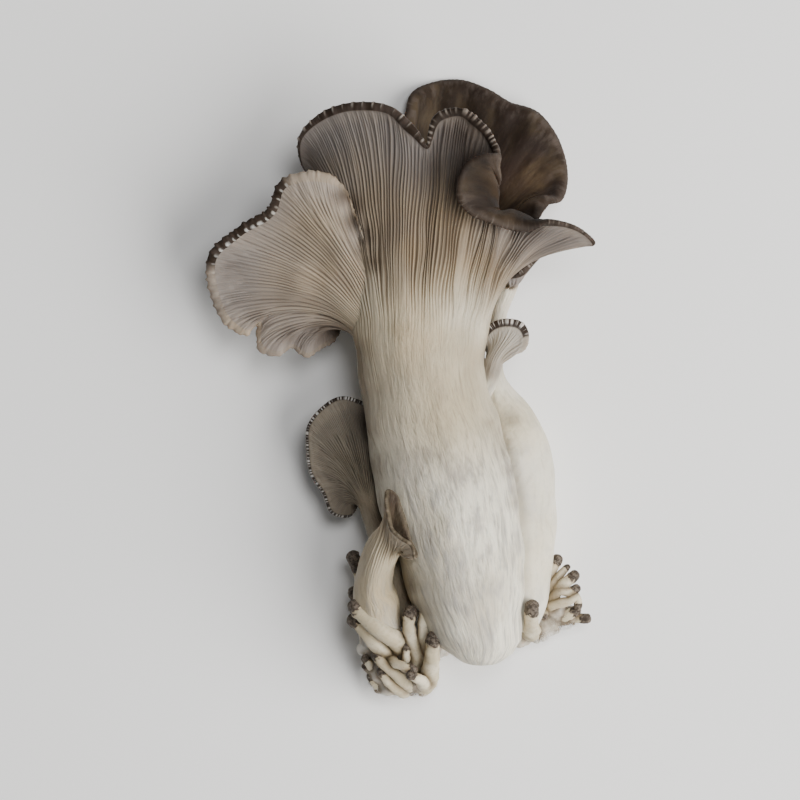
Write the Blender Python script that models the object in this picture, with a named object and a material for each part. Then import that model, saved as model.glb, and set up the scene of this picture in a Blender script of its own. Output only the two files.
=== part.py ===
"""Oyster mushroom cluster, picked and lying on its back with the gills up.

Each fruit body is one skin: a round stem whose rings run up into a wavy funnel or fan, a rolled
margin, and the smooth cap side that runs back down to the floor of the funnel. The gill side has
its gills as relief: ridges along the lines that climb from the stem to the margin, twice as many
on the cap as on the stem, as real gills fork and fill in. Lengths are in millimetres until a mesh
is made. X is across, Y runs from the cut base to the caps, Z is up.
"""
import math

import bmesh
import bpy
import numpy as np
from mathutils import Vector
from mathutils.bvhtree import BVHTree

MM = 0.001
GAP = 0.35            # clear space between two bodies that lie against each other
CENTRE_X = 0.23      # middle of the cluster's box, which becomes the origin
CENTRE_Y = 0.9
GILL_DEPTH = 1.3      # how deep the valleys between the gills are on the caps
STEM_RIDGE_DEPTH = 0.5
PULL_FROM = 0.4       # from here on the cap side closes in on the floor of the funnel
TURN_IN = 0.8         # how much the cap side's depth leans to the middle of its ring there
WALL_LEFT = 0.7       # thinnest wall left behind a valley
WALL_SHARE = 0.4      # a wall takes no more than this share of the room to the far side

# A stem is a list of rings from its pole up: x, y, z of the centre, half width, half depth.
# A rim is a closed list of points, counted from the right over the top side of the body:
# ring angle that its gill starts from (degrees), x, y, z of the gill's end, the handle that
# bends the gill there (x, y, z), and the share of the full margin roll.
# "floor" is the bottom of the funnel. "rise" is how far up the gills first follow the stem, as
# a share of their length. "roll" is how far the margin swells past the gills' ends. "wall" is the
# cap's thickness at the margin and "wall_growth" what it gains towards the floor. "reach" is how
# far down the gills the cap side follows them, and "even" how often its rings are evened out.
MAIN = {
    "stem": (
        (22.5, -76, 20, 0, 0),
        (22.5, -74, 20.5, 7.5, 9),
        (22.5, -70.5, 21, 11, 14),
        (21, -64, 21, 13.5, 18),
        (19.5, -57.5, 20.5, 16, 19.5),
        (17, -44, 20, 18, 20.5),
        (14, -30, 20, 19.5, 20.5),
        (10.5, -16, 21, 19, 20),
        (7, -2, 22.5, 18, 19.5),
        (5.5, 8, 23.5, 18, 19),
        (5.5, 18, 24.5, 19.5, 19),
    ),
    "rim": (
        (2, 53.5, 41.5, 31, -13, -2, 0, 0.4),
        (9, 49.5, 45, 35, -11, -3, 0, 0.4),
        (20, 42, 46.5, 40, -7, -4, -2, 0.7),
        (32, 33, 46, 44, 1, 9, -8, 1),
        (39, 24.5, 48, 48, 9, 7.5, -10, 0.7),
        (43, 18.5, 51, 52, 16, 5, -14, 0.7),
        (46, 16, 55, 55, 19, 3, -19, 0.7),
        (49, 17.5, 62, 56, 16, -1, -18, 0.7),
        (52, 21.5, 64.5, 53, 8, -5, -15, 0.8),
        (56, 25.5, 65, 47, 1, -9, -8, 1),
        (61, 24, 69, 46, -1, -9, -6, 1),
        (68, 20.5, 73.5, 46, -1.5, -10, -4, 1),
        (76, 16, 76.5, 46, -1, -10, -2, 1),
        (84, 11.5, 75.5, 46, 0, -10, -3, 1),
        (93, 7, 67.5, 46, 0, -9, -4, 0.5),
        (102, 2.5, 71.5, 46, 1, -10, -3, 1),
        (112, -3.5, 77, 44, 2, -10, -2, 1),
        (122, -12.5, 78.5, 40, 4, -10, -1, 1),
        (133, -22, 76, 34, 6, -9, 1, 1),
        (143, -28, 70.5, 28, 8, -6, 2, 0.6),
        (154, -27.5, 64, 23, 9, -3, 2, 0.35),
        (172, -22.5, 59.5, 15, 8, -6, 1, 0.4),
        (195, -14, 62, 9, 4, -9, 0, 1),
        (220, -4.5, 69.5, 6, 2, -10, 0, 1),
        (238, 2, 77.5, 5, 1, -10, 0, 1),
        (250, 4.5, 84.5, 2.6, 3, -9, 0.3, 1),
        (260, 10, 87, 0.1, 0, -10, 0.6, 1),
        (270, 17, 87.5, 0.1, 0, -10, 0.6, 1),
        (280, 24, 85, 2.2, -2, -10, 0.3, 1),
        (289, 30.5, 81, 3.5, -3, -9.5, 1, 1),
        (298, 37.5, 78.5, 5, -5, -9, 2, 1),
        (307, 42, 73, 6.5, -7, -7, 2, 1),
        (316, 44.5, 66.5, 8, -9, -4, 2, 1),
        (323, 45, 59, 12, -9, -2, 2, 1),
        (330, 43.2, 54.5, 16, -9, 0, 1, 1),
        (337, 39, 52.8, 20, -8, 1, 0, 1),
        (345, 37.5, 48, 22, -9, 0, 0, 0.5),
        (353, 46.5, 42, 26, -12, -1, 0, 0.4),
    ),
    "floor": (7, 31, 24.5),
    "rise": 0.35, "roll": 2.4, "wall": 2.4, "wall_growth": 2.0, "reach": 0.85, "even": 6,
}
FAN = {
    "stem": (
        (0.5, -7.5, 22, 5, 6),
        (-0.5, 1, 23, 7.5, 7.5),
        (-1, 9, 24.5, 8.5, 8.5),
        (-3, 16.5, 26, 9.5, 9),
    ),
    "rim": (
        (60, -4.5, 29.5, 35, 1.5, -7, -3, 0.2),
        (66, -9.5, 39.5, 38.3, 2.5, -12, -1, 0.2),
        (72, -13.5, 50.5, 37.8, 3, -16, 0, 0.2),
        (78, -16.5, 57.5, 38.0, 2, -18, 0, 0.3),
        (86, -19.5, 59, 39.3, 1, -17, 0, 0.8),
        (97, -26.5, 59.5, 39, 4, -14, 1, 1),
        (106, -32.5, 57.5, 37, 7, -8, 2, 1),
        (114, -35.5, 50.5, 34, 9, -5, 2, 1),
        (123, -45, 44.5, 29, 10, -4, 2, 1),
        (133, -52.5, 37.5, 25, 10, -1, 2, 1),
        (143, -52, 29, 22, 10, 2, 2, 1),
        (153, -47.5, 20, 24, 8, 5, 2, 0.8),
        (160, -43, 17.5, 25, 6, 8, 2, 0.6),
        (165, -40, 20, 23.5, 5, 7, 2, 0.6),
        (170, -39, 13, 25, 6, 8, 2, 0.6),
        (178, -34, 11.5, 25.5, 3, 9, 2, 0.5),
        (184, -30.5, 13.5, 23.5, 2, 8, 2, 0.4),
        (190, -26.5, 11, 24.5, 1, 9, 2, 0.4),
        (196, -22.5, 13.5, 21.5, 0, 8, 2, 0.5),
        (204, -19.5, 15.5, 18, -2, 8, 2, 0.6),
        (215, -16, 21, 13, -4, 5, 2, 0.6),
        (245, -9, 25.5, 12, -2, -4, 1, 0.6),
        (290, -3, 26.5, 18, -1, -5, 0, 0.5),
        (345, -1, 27, 28, 0, -5, -2, 0.2),
    ),
    "floor": (-7, 21, 25),
    "rise": 0.4, "roll": 2.2, "wall": 2.2, "wall_growth": 1.5, "reach": 0.75, "even": 2,
}
LEFT = {
    "stem": (
        (1, -67, 8, 0, 0),
        (1, -64, 8, 3, 5.5),
        (0.5, -59.5, 8.5, 4.5, 7.5),
        (-1, -52.5, 9.5, 5, 8),
        (-3.5, -45, 11, 4, 8),
        (-6, -38, 12, 4, 8),
        (-8.5, -31.5, 13, 3.5, 7.5),
    ),
    "rim": (
        (20, -0.5, -21.5, 17, -1, -9, 0, 0.7),
        (45, -3.5, -9, 21, 1, -9, 0, 1),
        (70, -11.5, -3.6, 21, 3, -9, 0, 1),
        (90, -17, -2.3, 20, 4, -8, 1, 1),
        (105, -22, -5.3, 19, 5, -7, 1, 1),
        (118, -25.3, -9.7, 18, 6, -5, 2, 1),
        (130, -25.5, -16, 17, 7, -2, 2, 1),
        (142, -24.5, -22.5, 16, 7, 0, 2, 1),
        (152, -21, -28, 15, 6, 3, 2, 1),
        (162, -18.6, -33.3, 14, 3, 5, 2, 1),
        (172, -14.6, -34, 12, 0, 4, 2, 1),
        (190, -12, -31, 8, -1, 0, 1.5, 0.4),
        (230, -9, -26, 5.5, -1, -4, 1, 0.4),
        (290, -3, -25, 6.5, -1, -4, 0, 0.4),
        (340, 0.5, -24.5, 13, -1.5, -6, 0, 0.4),
    ),
    "floor": (-8.5, -29, 12.5),
    "rise": 0.3, "roll": 1.6, "wall": 2.0, "wall_growth": 1.0, "reach": 0.7, "even": 1,
}
CURLED = {
    "stem": (
        (-4, -69.5, 17, 0, 0),
        (-4, -67.5, 17.5, 4, 6.5),
        (-5.8, -63.5, 19, 5.8, 8.5),
        (-6.9, -59, 20, 6.4, 9),
        (-7.8, -54, 22, 5.5, 8.5),
        (-7, -49, 25, 5, 7.5),
        (-5.5, -44.5, 28, 5, 6.5),
    ),
    "rim": (
        (5, 3.4, -45.9, 42, -4, -1.5, -4, 0.6),
        (25, 2.5, -42.5, 43, -4, -2, -4, 0.8),
        (45, -0.5, -40.5, 43, -2, -4, -4, 1),
        (65, -3, -38, 43, 0, -5, -4, 1),
        (85, -4, -34, 43, 1, -6, -3, 1),
        (105, -4.5, -29.5, 42, 1, -7, -2, 1),
        (130, -4, -27.5, 40, 0, -7, 0, 1),
        (170, -2, -28.5, 38, -1, -7, 0, 1),
        (220, -0.5, -32, 37, -3, -7, 0, 1),
        (270, 1, -36.5, 37, -4, -6, 0, 1),
        (310, 2.5, -41, 37, -5, -3, 0, 0.6),
        (340, 4.3, -45, 39, -4, -1, -2, 0.6),
    ),
    "floor": (-4, -41.5, 32.5),
    "rise": 0.3, "roll": 1.0, "wall": 1.3, "wall_growth": 0.2, "reach": 0.45, "even": 1,
}
RIGHT = {
    "stem": (
        (36.5, -68.5, 12, 0, 0),
        (36, -65.5, 12, 3.5, 7),
        (35.5, -62, 12, 5.5, 9),
        (34.5, -56, 12.5, 8, 11),
        (33, -44.5, 13, 10.5, 13.3),
        (33, -30, 13, 11, 13.3),
        (32, -19, 13, 10.5, 13.3),
        (30.5, -9, 13, 8.5, 12),
        (28, -2, 14, 5.5, 8),
        (26.5, 4, 15, 3.3, 5.5),
        (26.5, 12.5, 16, 2.5, 4.5),
        (27.5, 22, 17, 2.4, 4),
        (30, 29.5, 18, 2.5, 4),
    ),
    "rim": (
        (5, 38.5, 38, 22, -4, -3, 0, 1),
        (35, 37, 37, 26, -3, -4, 0, 1),
        (65, 33.5, 34.5, 28, -1, -5, 0, 1),
        (95, 30.5, 35, 28, 1, -5, 0, 1),
        (130, 28.5, 38, 26, 3, -4, 0, 1),
        (170, 28.5, 42, 22, 4, -3, 0, 1),
        (215, 30.5, 44, 17, 2, -4, 0, 1),
        (270, 34.5, 44.5, 14, 0, -5, 0, 1),
        (320, 38, 42, 16, -3, -4, 0, 1),
    ),
    "floor": (32, 35, 20.5),
    "rise": 0.3, "roll": 1.6, "wall": 1.6, "wall_growth": 0.4, "reach": 0.5, "even": 1,
}
SMALL_RIGHT = {
    "stem": (
        (23, -3, 20, 0, 0),
        (23, -2, 20.5, 1.5, 2.5),
        (24, 1.5, 21.5, 2.2, 3),
        (25, 5, 22.5, 2.5, 3.5),
        (26, 8.5, 23.5, 2.8, 3.5),
    ),
    "rim": (
        (0, 29.2, 10.2, 25, -1, -1, 0, 0.6),
        (25, 32.4, 11, 26.2, -2.5, -2, 0, 0.6),
        (45, 34.4, 13.6, 27, -4, -2, 0, 0.7),
        (65, 34.7, 16.4, 27, -4, -3, 0, 0.8),
        (85, 33.5, 18.5, 27, -3, -4, 0, 1),
        (110, 30, 19.5, 27, -1, -5, 0, 1),
        (135, 26.5, 18.8, 26, 1, -5, 0, 1),
        (170, 23.5, 15.5, 24, 2, -4, 0, 1),
        (220, 23.5, 12.5, 21, 1, -2, 0, 0.4),
        (290, 25.5, 11, 21, 0, -2, 0, 0.3),
    ),
    "floor": (28.5, 14, 24.3),
    "rise": 0.3, "roll": 1.6, "wall": 1.5, "wall_growth": 0.3, "reach": 0.5, "even": 1,
}

# Pins, the buds that never opened: points from head to root, head radius, root radius.
PINS = (
    (((-13.6, -46.2, 13), (-11.7, -51.5, 11), (-9.8, -60, 10), (-6.5, -71.5, 8)), 1.9, 2),
    (((-13.4, -56.3, 12), (-10.9, -62.5, 10), (-7, -73, 8)), 1.8, 1.9),
    (((-13.2, -59.7, 24), (-9.7, -63.4, 26), (-5, -66.9, 26.5), (-1.6, -69.2, 23.5), (-0.6, -73, 14)),
     2.0, 3.0),
    (((-13.8, -63.8, 19.5), (-11.3, -66, 21), (-8.2, -69.3, 22), (-5.4, -72.4, 20.5), (-4, -75, 13)),
     1.7, 2.6),
    (((2.7, -61, 26), (2.2, -64.7, 26), (3.3, -70, 23), (4.7, -75.4, 18), (5, -79, 10)), 1.9, 2.3),
    (((6.3, -59.3, 25.5), (6.2, -63, 25.5), (6.4, -67, 24.5), (6.8, -71, 21), (6.2, -75, 12)), 1.7, 2.3),
    (((9.2, -68.3, 28), (8.9, -72.4, 27), (8.5, -76.4, 23), (7.6, -80.8, 15), (6, -83, 8)), 2.0, 3.1),
    (((2.5, -78.9, 27), (5, -80.3, 25), (6.6, -82, 17)), 1.3, 2.1),
    (((-7, -73.9, 21), (-5.2, -76, 22.5), (-2.6, -78.2, 22), (-0.2, -80.4, 19), (2.5, -82.8, 12)),
     1.4, 2.0),
    (((-5.6, -78.2, 20), (-4.6, -80.1, 20), (-2.4, -82.2, 17), (0.8, -84.4, 9)), 1.25, 2.3),
    (((-8.4, -80, 13), (-7.2, -82, 12), (-5.4, -83.6, 6)), 1.3, 2.0),
    (((-10.3, -74.9, 15), (-9.2, -76.2, 15.5), (-7, -78.2, 10)), 1.1, 2.0),
    (((-10.4, -77.3, 12), (-9.2, -78.3, 12), (-7, -79.9, 8)), 0.9, 2.0),
    (((3.6, -77.6, 25.5), (1.3, -76.9, 25.8), (-1.2, -76, 24.5), (-2.6, -75.3, 16)), 1.25, 1.7),
    (((1.5, -71, 23.5), (1.5, -73, 23.5), (1.4, -75.5, 15)), 1.1, 1.5),
    (((36.9, -59.8, 24), (36.8, -62.6, 22), (36.9, -66, 17), (37, -68, 9)), 2.0, 2.5),
    (((44.5, -46.9, 13), (43.4, -49, 13), (41.5, -53.5, 11), (40, -58, 7)), 1.5, 2.0),
    (((49.3, -51.5, 14), (47.6, -52.8, 14.5), (45, -55, 13), (42.5, -59.5, 8)), 1.55, 2.1),
    (((47.3, -49.2, 12), (45.4, -51.2, 13), (43, -54.4, 12), (41, -58.5, 7)), 0.9, 2.3),
    (((49.7, -55.3, 13), (47.6, -56.4, 14), (45.2, -55.9, 14), (43.3, -57.8, 12), (42, -60.5, 7)),
     1.35, 1.6),
    (((50.2, -60.6, 13), (50, -57.6, 14.5), (47.5, -58.8, 14), (43, -60, 12), (41.5, -62.5, 7)), 1.1, 1.7),
    (((50, -61.6, 10), (48, -62.8, 10), (44.5, -63.8, 6)), 1.4, 2.2),
    (((52.9, -64, 9), (50, -64, 8), (45, -64.2, 5)), 1.4, 1.7),
    (((40.5, -63.6, 12), (41, -62, 11), (42, -61, 6)), 0.9, 2.0),
)
PIN_SIDES = 6
PIN_RINGS = 3
# Lumps of the common base: centre, half sizes.
LUMPS = (
    ((-0.5, -80.5, 8.5), (9.5, 5.5, 8.5)),
    ((-5, -77.5, 8.5), (5.5, 6.5, 9.5)),
    ((-9.3, -71.3, 9), (2.5, 4.8, 8.5)),
    ((4.5, -80, 8.5), (5.5, 5.5, 8.5)),
    ((0.6, -73.6, 12), (3.6, 5, 9)),
    ((0.8, -77.2, 20.5), (3.1, 1.6, 2.4)),
    ((43.5, -62, 6), (5, 4, 6)),
    ((47, -63.8, 6), (3.6, 3, 5)),
    ((41.2, -61.8, 8.5), (2.8, 2.2, 4)),
    ((39.5, -67, 5.5), (4, 3.2, 5.5)),
)
LUMP_SIDES = 12
LUMP_RINGS = 5
# The root that joins the two bunches under the thick stem.
BRIDGE = ((1, -78, 7), (11, -71, 4.5), (22.5, -67.5, 4.2), (34, -68, 4.5), (42.5, -64, 6))
BRIDGE_RADIUS = 4.2

# Rows and columns of each body: columns on the stem, rows on stem, cap, roll and cap side, of
# which the first few are as fine as the cap.
MAIN_GRID = {"columns": 64, "stem": 9, "cap": 9, "roll": 2, "fine": 2, "skin": 6}
FAN_GRID = {"columns": 48, "stem": 3, "cap": 8, "roll": 2, "fine": 2, "skin": 5}
LEFT_GRID = {"columns": 32, "stem": 5, "cap": 6, "roll": 2, "fine": 0, "skin": 4}
CURLED_GRID = {"columns": 24, "stem": 7, "cap": 6, "roll": 1, "fine": 0, "skin": 2}
RIGHT_GRID = {"columns": 24, "stem": 13, "cap": 4, "roll": 1, "fine": 0, "skin": 2}
SMALL_GRID = {"columns": 20, "stem": 4, "cap": 5, "roll": 1, "fine": 0, "skin": 2}


def unit(vectors):
    return vectors / np.maximum(np.linalg.norm(vectors, axis=-1, keepdims=True), 1e-9)


def ease(x):
    x = np.clip(x, 0, 1)
    return x * x * (3 - 2 * x)


def hermite(t, a, b, slope_a, slope_b):
    return ((2 * t**3 - 3 * t**2 + 1) * a + (t**3 - 2 * t**2 + t) * slope_a
            + (3 * t**2 - 2 * t**3) * b + (t**3 - t**2) * slope_b)


def smooth_curve(knots, values, at):
    """A smooth curve through values at growing knots, read at the given places."""
    span = np.diff(knots)[:, None]
    step = np.diff(values, axis=0) / span
    slope = np.empty_like(values)
    slope[1:-1] = (step[:-1] * span[1:] + step[1:] * span[:-1]) / (span[1:] + span[:-1])
    slope[0] = step[0]
    slope[-1] = step[-1]
    i = np.clip(np.searchsorted(knots, at, side="right") - 1, 0, len(knots) - 2)
    t = ((at - knots[i]) / (knots[i + 1] - knots[i]))[:, None]
    return hermite(t, values[i], values[i + 1], slope[i] * span[i], slope[i + 1] * span[i])


def growing_curve(knots, values, at):
    """The same for one value that only grows, with no overshoot between the knots."""
    span = np.diff(knots)
    step = np.diff(values) / span
    slope = np.zeros(len(values))
    slope[1:-1] = 2 / (1 / step[:-1] + 1 / step[1:])
    i = np.clip(np.searchsorted(knots, at, side="right") - 1, 0, len(knots) - 2)
    t = (at - knots[i]) / span[i]
    return hermite(t, values[i], values[i + 1], slope[i] * span[i], slope[i + 1] * span[i])


def rim_lines(rim, columns):
    """Where each column's gill ends, evenly spaced along the rim."""
    rows = np.array(rim, float)
    rows[:, 0] = np.radians(rows[:, 0])
    turn = np.array([2 * math.pi] + [0.0] * 7)
    wrapped = np.concatenate([rows[-2:] - turn, rows, rows[:3] + turn])
    step = np.linalg.norm(np.diff(wrapped[:, 1:4], axis=0), axis=1)
    knots = np.concatenate([[0], np.cumsum(step)])
    first, last = knots[2], knots[len(rows) + 2]
    fine = np.linspace(first, last, 4001)
    course = smooth_curve(knots, wrapped[:, 1:4], fine)
    arc = np.concatenate([[0], np.cumsum(np.linalg.norm(np.diff(course, axis=0), axis=1))])
    at = np.interp(np.arange(columns) / columns * arc[-1], arc, fine)
    point = smooth_curve(knots, wrapped[:, 1:4], at)
    rest = smooth_curve(knots, wrapped[:, 4:8], at)
    angle = growing_curve(knots, wrapped[:, 0], at)
    return point, rest[:, :3], angle, np.clip(rest[:, 3:], 0.1, 1.2)


def stem_rings(stations, count, angle):
    """Rings from the pole to the top of the stem; the squares of the radii are smoothed, so
    that the pole is round."""
    rows = np.array(stations, float)
    radius = rows[:, 3].copy()
    rows[:, 3:] **= 2
    step = np.linalg.norm(np.diff(rows[:, :3], axis=0), axis=1) + 0.3 * np.abs(np.diff(radius))
    knots = np.concatenate([[0], np.cumsum(step)])
    at = np.linspace(0, knots[-1], count + 1)
    ring = smooth_curve(knots, rows, at)
    centre = ring[:, None, :3]
    half_width = np.sqrt(np.maximum(ring[:, 3], 0))[:, None]
    half_depth = np.sqrt(np.maximum(ring[:, 4], 0))[:, None]
    along = unit(np.gradient(ring[:, :3], at, axis=0))
    side = unit(np.cross(along, (0.0, 0.0, 1.0)))
    front = np.cross(side, along)
    return (centre + (half_width * np.cos(angle))[..., None] * side[:, None, :]
            + (half_depth * np.sin(angle))[..., None] * front[:, None, :])


def bezier(start, handle_a, handle_b, end, t):
    t = np.asarray(t)[:, None, None]
    return ((1 - t)**3 * start + 3 * t * (1 - t)**2 * handle_a
            + 3 * t**2 * (1 - t) * handle_b + t**3 * end)


def outward(rows):
    """Unit normals of a grid whose columns run round and whose rows climb."""
    across = np.roll(rows, -1, axis=1) - np.roll(rows, 1, axis=1)
    return unit(np.cross(np.gradient(rows, axis=0), across))


def ring_average(rows, times):
    """Rows of values or points evened out round the ring."""
    for _ in range(times):
        rows = (np.roll(rows, 1, axis=1) + 2 * rows + np.roll(rows, -1, axis=1)) / 4
    return rows


def room_behind(outer, points, normals):
    """How far it is from each point, straight in, to the far side of the outer rows."""
    rows, columns = outer.shape[:2]
    faces = []
    for i in range(rows - 1):
        for j in range(columns):
            k = (j + 1) % columns
            faces.append([i * columns + j, i * columns + k, (i + 1) * columns + k,
                          (i + 1) * columns + j])
    tree = BVHTree.FromPolygons(outer.reshape(-1, 3).tolist(), faces)
    room = np.full(points.shape[:2], 20.0)
    for place in np.ndindex(room.shape):
        inward = -Vector(normals[place])
        hit = tree.ray_cast(Vector(points[place]) + inward * 0.3, inward)[3]
        if hit is not None:
            room[place] = min(hit + 0.3, 20.0)
    return room


def least_room(room):
    """The least room among each point's neighbours on its ring, evened out."""
    room = np.min([np.roll(room, k, axis=1) for k in (-2, -1, 0, 1, 2)], axis=0)
    return ring_average(room, 2)


def fruit_body(shape, grid):
    """Smooth rows of a fruit body, from its pole over the gills and the margin to the floor."""
    columns = 2 * grid["columns"]
    end, bend, angle, roll_share = rim_lines(shape["rim"], columns)
    stem = stem_rings(shape["stem"], grid["stem"], angle)
    top = stem[-1]
    reach = np.linalg.norm(end - top, axis=1, keepdims=True)
    handle_a = top + unit(top - stem[-2]) * reach * shape["rise"]
    handle_b = end + bend
    places = 1 - (1 - np.linspace(0, 1, grid["cap"] + 1)[1:]) ** 1.25
    outer = np.concatenate([stem[1:], bezier(top, handle_a, handle_b, end, places)])
    normal = outward(outer)

    edge = unit(np.roll(end, -1, axis=0) - np.roll(end, 1, axis=0))
    away = unit(np.cross(edge, normal[-1]))
    wall = shape["wall"]
    roll = []
    thin = 0.5 + 0.5 * roll_share
    for k in range(1, grid["roll"] + 1):
        turn = math.pi * k / (grid["roll"] + 1)
        roll.append(end + away * shape["roll"] * roll_share * math.sin(turn)
                    - normal[-1] * (thin * wall / 2 * (1 - math.cos(turn)) - 0.3 * math.sin(turn)))

    back = np.linspace(0, 1, grid["skin"] + 1)[:-1]
    under = bezier(top, handle_a, handle_b, end, 1 - shape["reach"] * back)
    under_normal = -outward(under)
    under_normal[0] = normal[-1]
    under_normal[2:] = ring_average(under_normal[2:], 2)
    middle = under.mean(axis=1, keepdims=True)
    inward = unit(unit(middle - under) * ease(back)[:, None, None] * TURN_IN - unit(under_normal))
    depth = (wall + shape["wall_growth"] * ease(back))[:, None] * thin.T
    depth = np.minimum(depth, WALL_SHARE * least_room(room_behind(outer, under, -inward)))
    depth = np.minimum(depth, 0.7 * np.linalg.norm(middle - under, axis=-1))
    pull = ease((back - PULL_FROM) / (1 - PULL_FROM))[:, None, None]
    floor = np.array(shape["floor"], float)
    skin = under + inward * depth[..., None]
    for k in range(2, len(skin)):
        skin[k:] = ring_average(skin[k:], shape["even"])
    skin = skin * (1 - pull) + (0.5 * floor + 0.5 * middle) * pull
    return {"pole": stem[0].mean(axis=0), "outer": outer, "normal": normal, "roll": roll,
            "skin": list(skin), "floor": floor, "stem_rows": grid["stem"]}


def ridge(u):
    """1 on a ridge, 0 in the valley half way to the next."""
    return 1 - 2 * np.abs(u - np.round(u))


def carve(body, grid):
    """Sink the valleys between the gills into the outer rows, less where the gills run close."""
    outer = body["outer"]
    columns = outer.shape[1]
    u = np.arange(columns) / 4
    along = unit(np.gradient(outer, axis=0))
    across = np.roll(outer, -1, axis=1) - outer
    beside = np.linalg.norm(across - (across * along).sum(axis=-1, keepdims=True) * along, axis=-1)
    beside = np.minimum(beside, np.roll(beside, 1, axis=1))
    stem_rows = body["stem_rows"]
    cap_side = np.array(body["roll"][-1:] + body["skin"])
    room = room_behind(cap_side, outer, body["normal"])
    carved = []
    for i, (row, normal) in enumerate(zip(outer, body["normal"])):
        if i < stem_rows:
            valley = STEM_RIDGE_DEPTH * ease(i / stem_rows) * (1 - ridge(u))
            limit = 1.2 * beside[i]
        else:
            fade = 0.0 if i == len(outer) - 1 else 1.0
            valley = fade * GILL_DEPTH * (1 - ridge(2 * u))
            limit = np.minimum(0.7 * beside[i], np.maximum(room[i] - WALL_LEFT, 0))
        carved.append(row - normal * np.minimum(valley, limit)[:, None])
    return carved


def skin_mesh(name, rows, counts, bottom, top):
    """One closed mesh from rows of points. Neighbouring rows have as many columns, or one has
    twice as many as the other. The ends close on a point each."""
    shape = bmesh.new()
    rings = []
    for row, count in zip(rows, counts):
        kept = row[:: len(row) // count] * MM
        rings.append([shape.verts.new((x - CENTRE_X * MM, y - CENTRE_Y * MM, max(z, 0.0)))
                      for x, y, z in kept])
    for low, high in zip(rings, rings[1:]):
        if len(low) == len(high):
            for i in range(len(low)):
                j = (i + 1) % len(low)
                shape.faces.new((low[i], high[i], high[j]))
                shape.faces.new((low[i], high[j], low[j]))
        elif len(high) == 2 * len(low):
            for i in range(len(low)):
                j = (i + 1) % len(low)
                middle = high[2 * i + 1]
                shape.faces.new((low[i], high[2 * i], middle))
                shape.faces.new((low[i], middle, low[j]))
                shape.faces.new((low[j], middle, high[2 * j]))
        else:
            for i in range(len(high)):
                j = (i + 1) % len(high)
                middle = low[2 * i + 1]
                shape.faces.new((high[i], middle, low[2 * i]))
                shape.faces.new((high[i], high[j], middle))
                shape.faces.new((high[j], low[2 * j], middle))
    for ring, centre, order in ((rings[0], bottom, 1), (rings[-1], top, -1)):
        x, y, z = centre
        tip = shape.verts.new(((x - CENTRE_X) * MM, (y - CENTRE_Y) * MM, max(z, 0.0) * MM))
        for i in range(len(ring)):
            j = (i + 1) % len(ring)
            shape.faces.new((tip, ring[i], ring[j])[::order])
    mesh = bpy.data.meshes.new(name)
    shape.to_mesh(mesh)
    shape.free()
    obj = bpy.data.objects.new(name, mesh)
    bpy.context.scene.collection.objects.link(obj)
    return obj


def mushroom(name, shape, grid):
    body = fruit_body(shape, grid)
    outer = carve(body, grid)
    stem_rows = body["stem_rows"]
    rows = outer + body["roll"] + body["skin"]
    half, full = grid["columns"], 2 * grid["columns"]
    fine = len(outer) + len(body["roll"]) + grid["fine"] - stem_rows + 1
    counts = [half] * (stem_rows - 1) + [full] * fine
    counts += [half] * (len(rows) - len(counts))
    return skin_mesh(name, rows, counts, body["pole"], body["floor"])


def clearance(name, shape, grid, cap_rows):
    """The same body without gills, GAP larger all over and closed above its last row: what its
    neighbours keep clear of."""
    body = fruit_body(shape, grid)
    last = body["stem_rows"] + cap_rows
    rows = list((body["outer"] + body["normal"] * GAP)[:last])
    counts = [grid["columns"]] * (body["stem_rows"] - 1) + [2 * grid["columns"]] * (cap_rows + 1)
    below = body["pole"] - unit(body["outer"][0].mean(axis=0) - body["pole"]) * GAP
    above = rows[-1].mean(axis=0)
    cutter = skin_mesh(name, rows, counts, below, above)
    for vertex in cutter.data.vertices:
        if vertex.co.z <= GAP * MM:
            vertex.co.z = -GAP * MM
    cutter.hide_render = True
    cutter.display_type = "WIRE"
    return cutter


def tube(name, points, head_radius, root_radius, sides, rings):
    """A pin: a bent round finger with domed ends."""
    course = np.array(points, float)
    knots = np.concatenate([[0], np.cumsum(np.linalg.norm(np.diff(course, axis=0), axis=1))])
    at = np.linspace(0, knots[-1], rings + 1)
    centre = smooth_curve(knots, course, at)
    along = unit(np.gradient(centre, at, axis=0))
    side = unit(np.cross(along, (0.3, 0.2, 1.0)))
    other = np.cross(side, along)
    radius = head_radius + (root_radius - head_radius) * at / knots[-1]
    angle = np.arange(sides) / sides * 2 * math.pi
    rows = []
    for i, shift, share in ([(0, -0.75, 0.65)] + [(i, 0.0, 1.0) for i in range(rings + 1)]
                            + [(rings, 0.75, 0.65)]):
        ring = (np.cos(angle)[:, None] * side[i] + np.sin(angle)[:, None] * other[i])
        rows.append(centre[i] + along[i] * shift * radius[i] + ring * share * radius[i])
    return skin_mesh(name, rows, [sides] * len(rows), centre[0] - along[0] * radius[0],
                     centre[-1] + along[-1] * radius[-1])


def lump(name, centre, half_size):
    angle = -np.arange(LUMP_SIDES) / LUMP_SIDES * 2 * math.pi
    middle, half = np.array(centre, float), np.array(half_size, float)
    rows = []
    for k in range(1, LUMP_RINGS + 1):
        height = math.pi * k / (LUMP_RINGS + 1) - math.pi / 2
        ring = np.stack([math.cos(height) * np.cos(angle), math.sin(height) * np.ones(LUMP_SIDES),
                         math.cos(height) * np.sin(angle)], axis=-1)
        rows.append(middle + ring * half)
    up = np.array((0.0, half[1], 0.0))
    return skin_mesh(name, rows, [LUMP_SIDES] * LUMP_RINGS, middle - up, middle + up)


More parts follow.
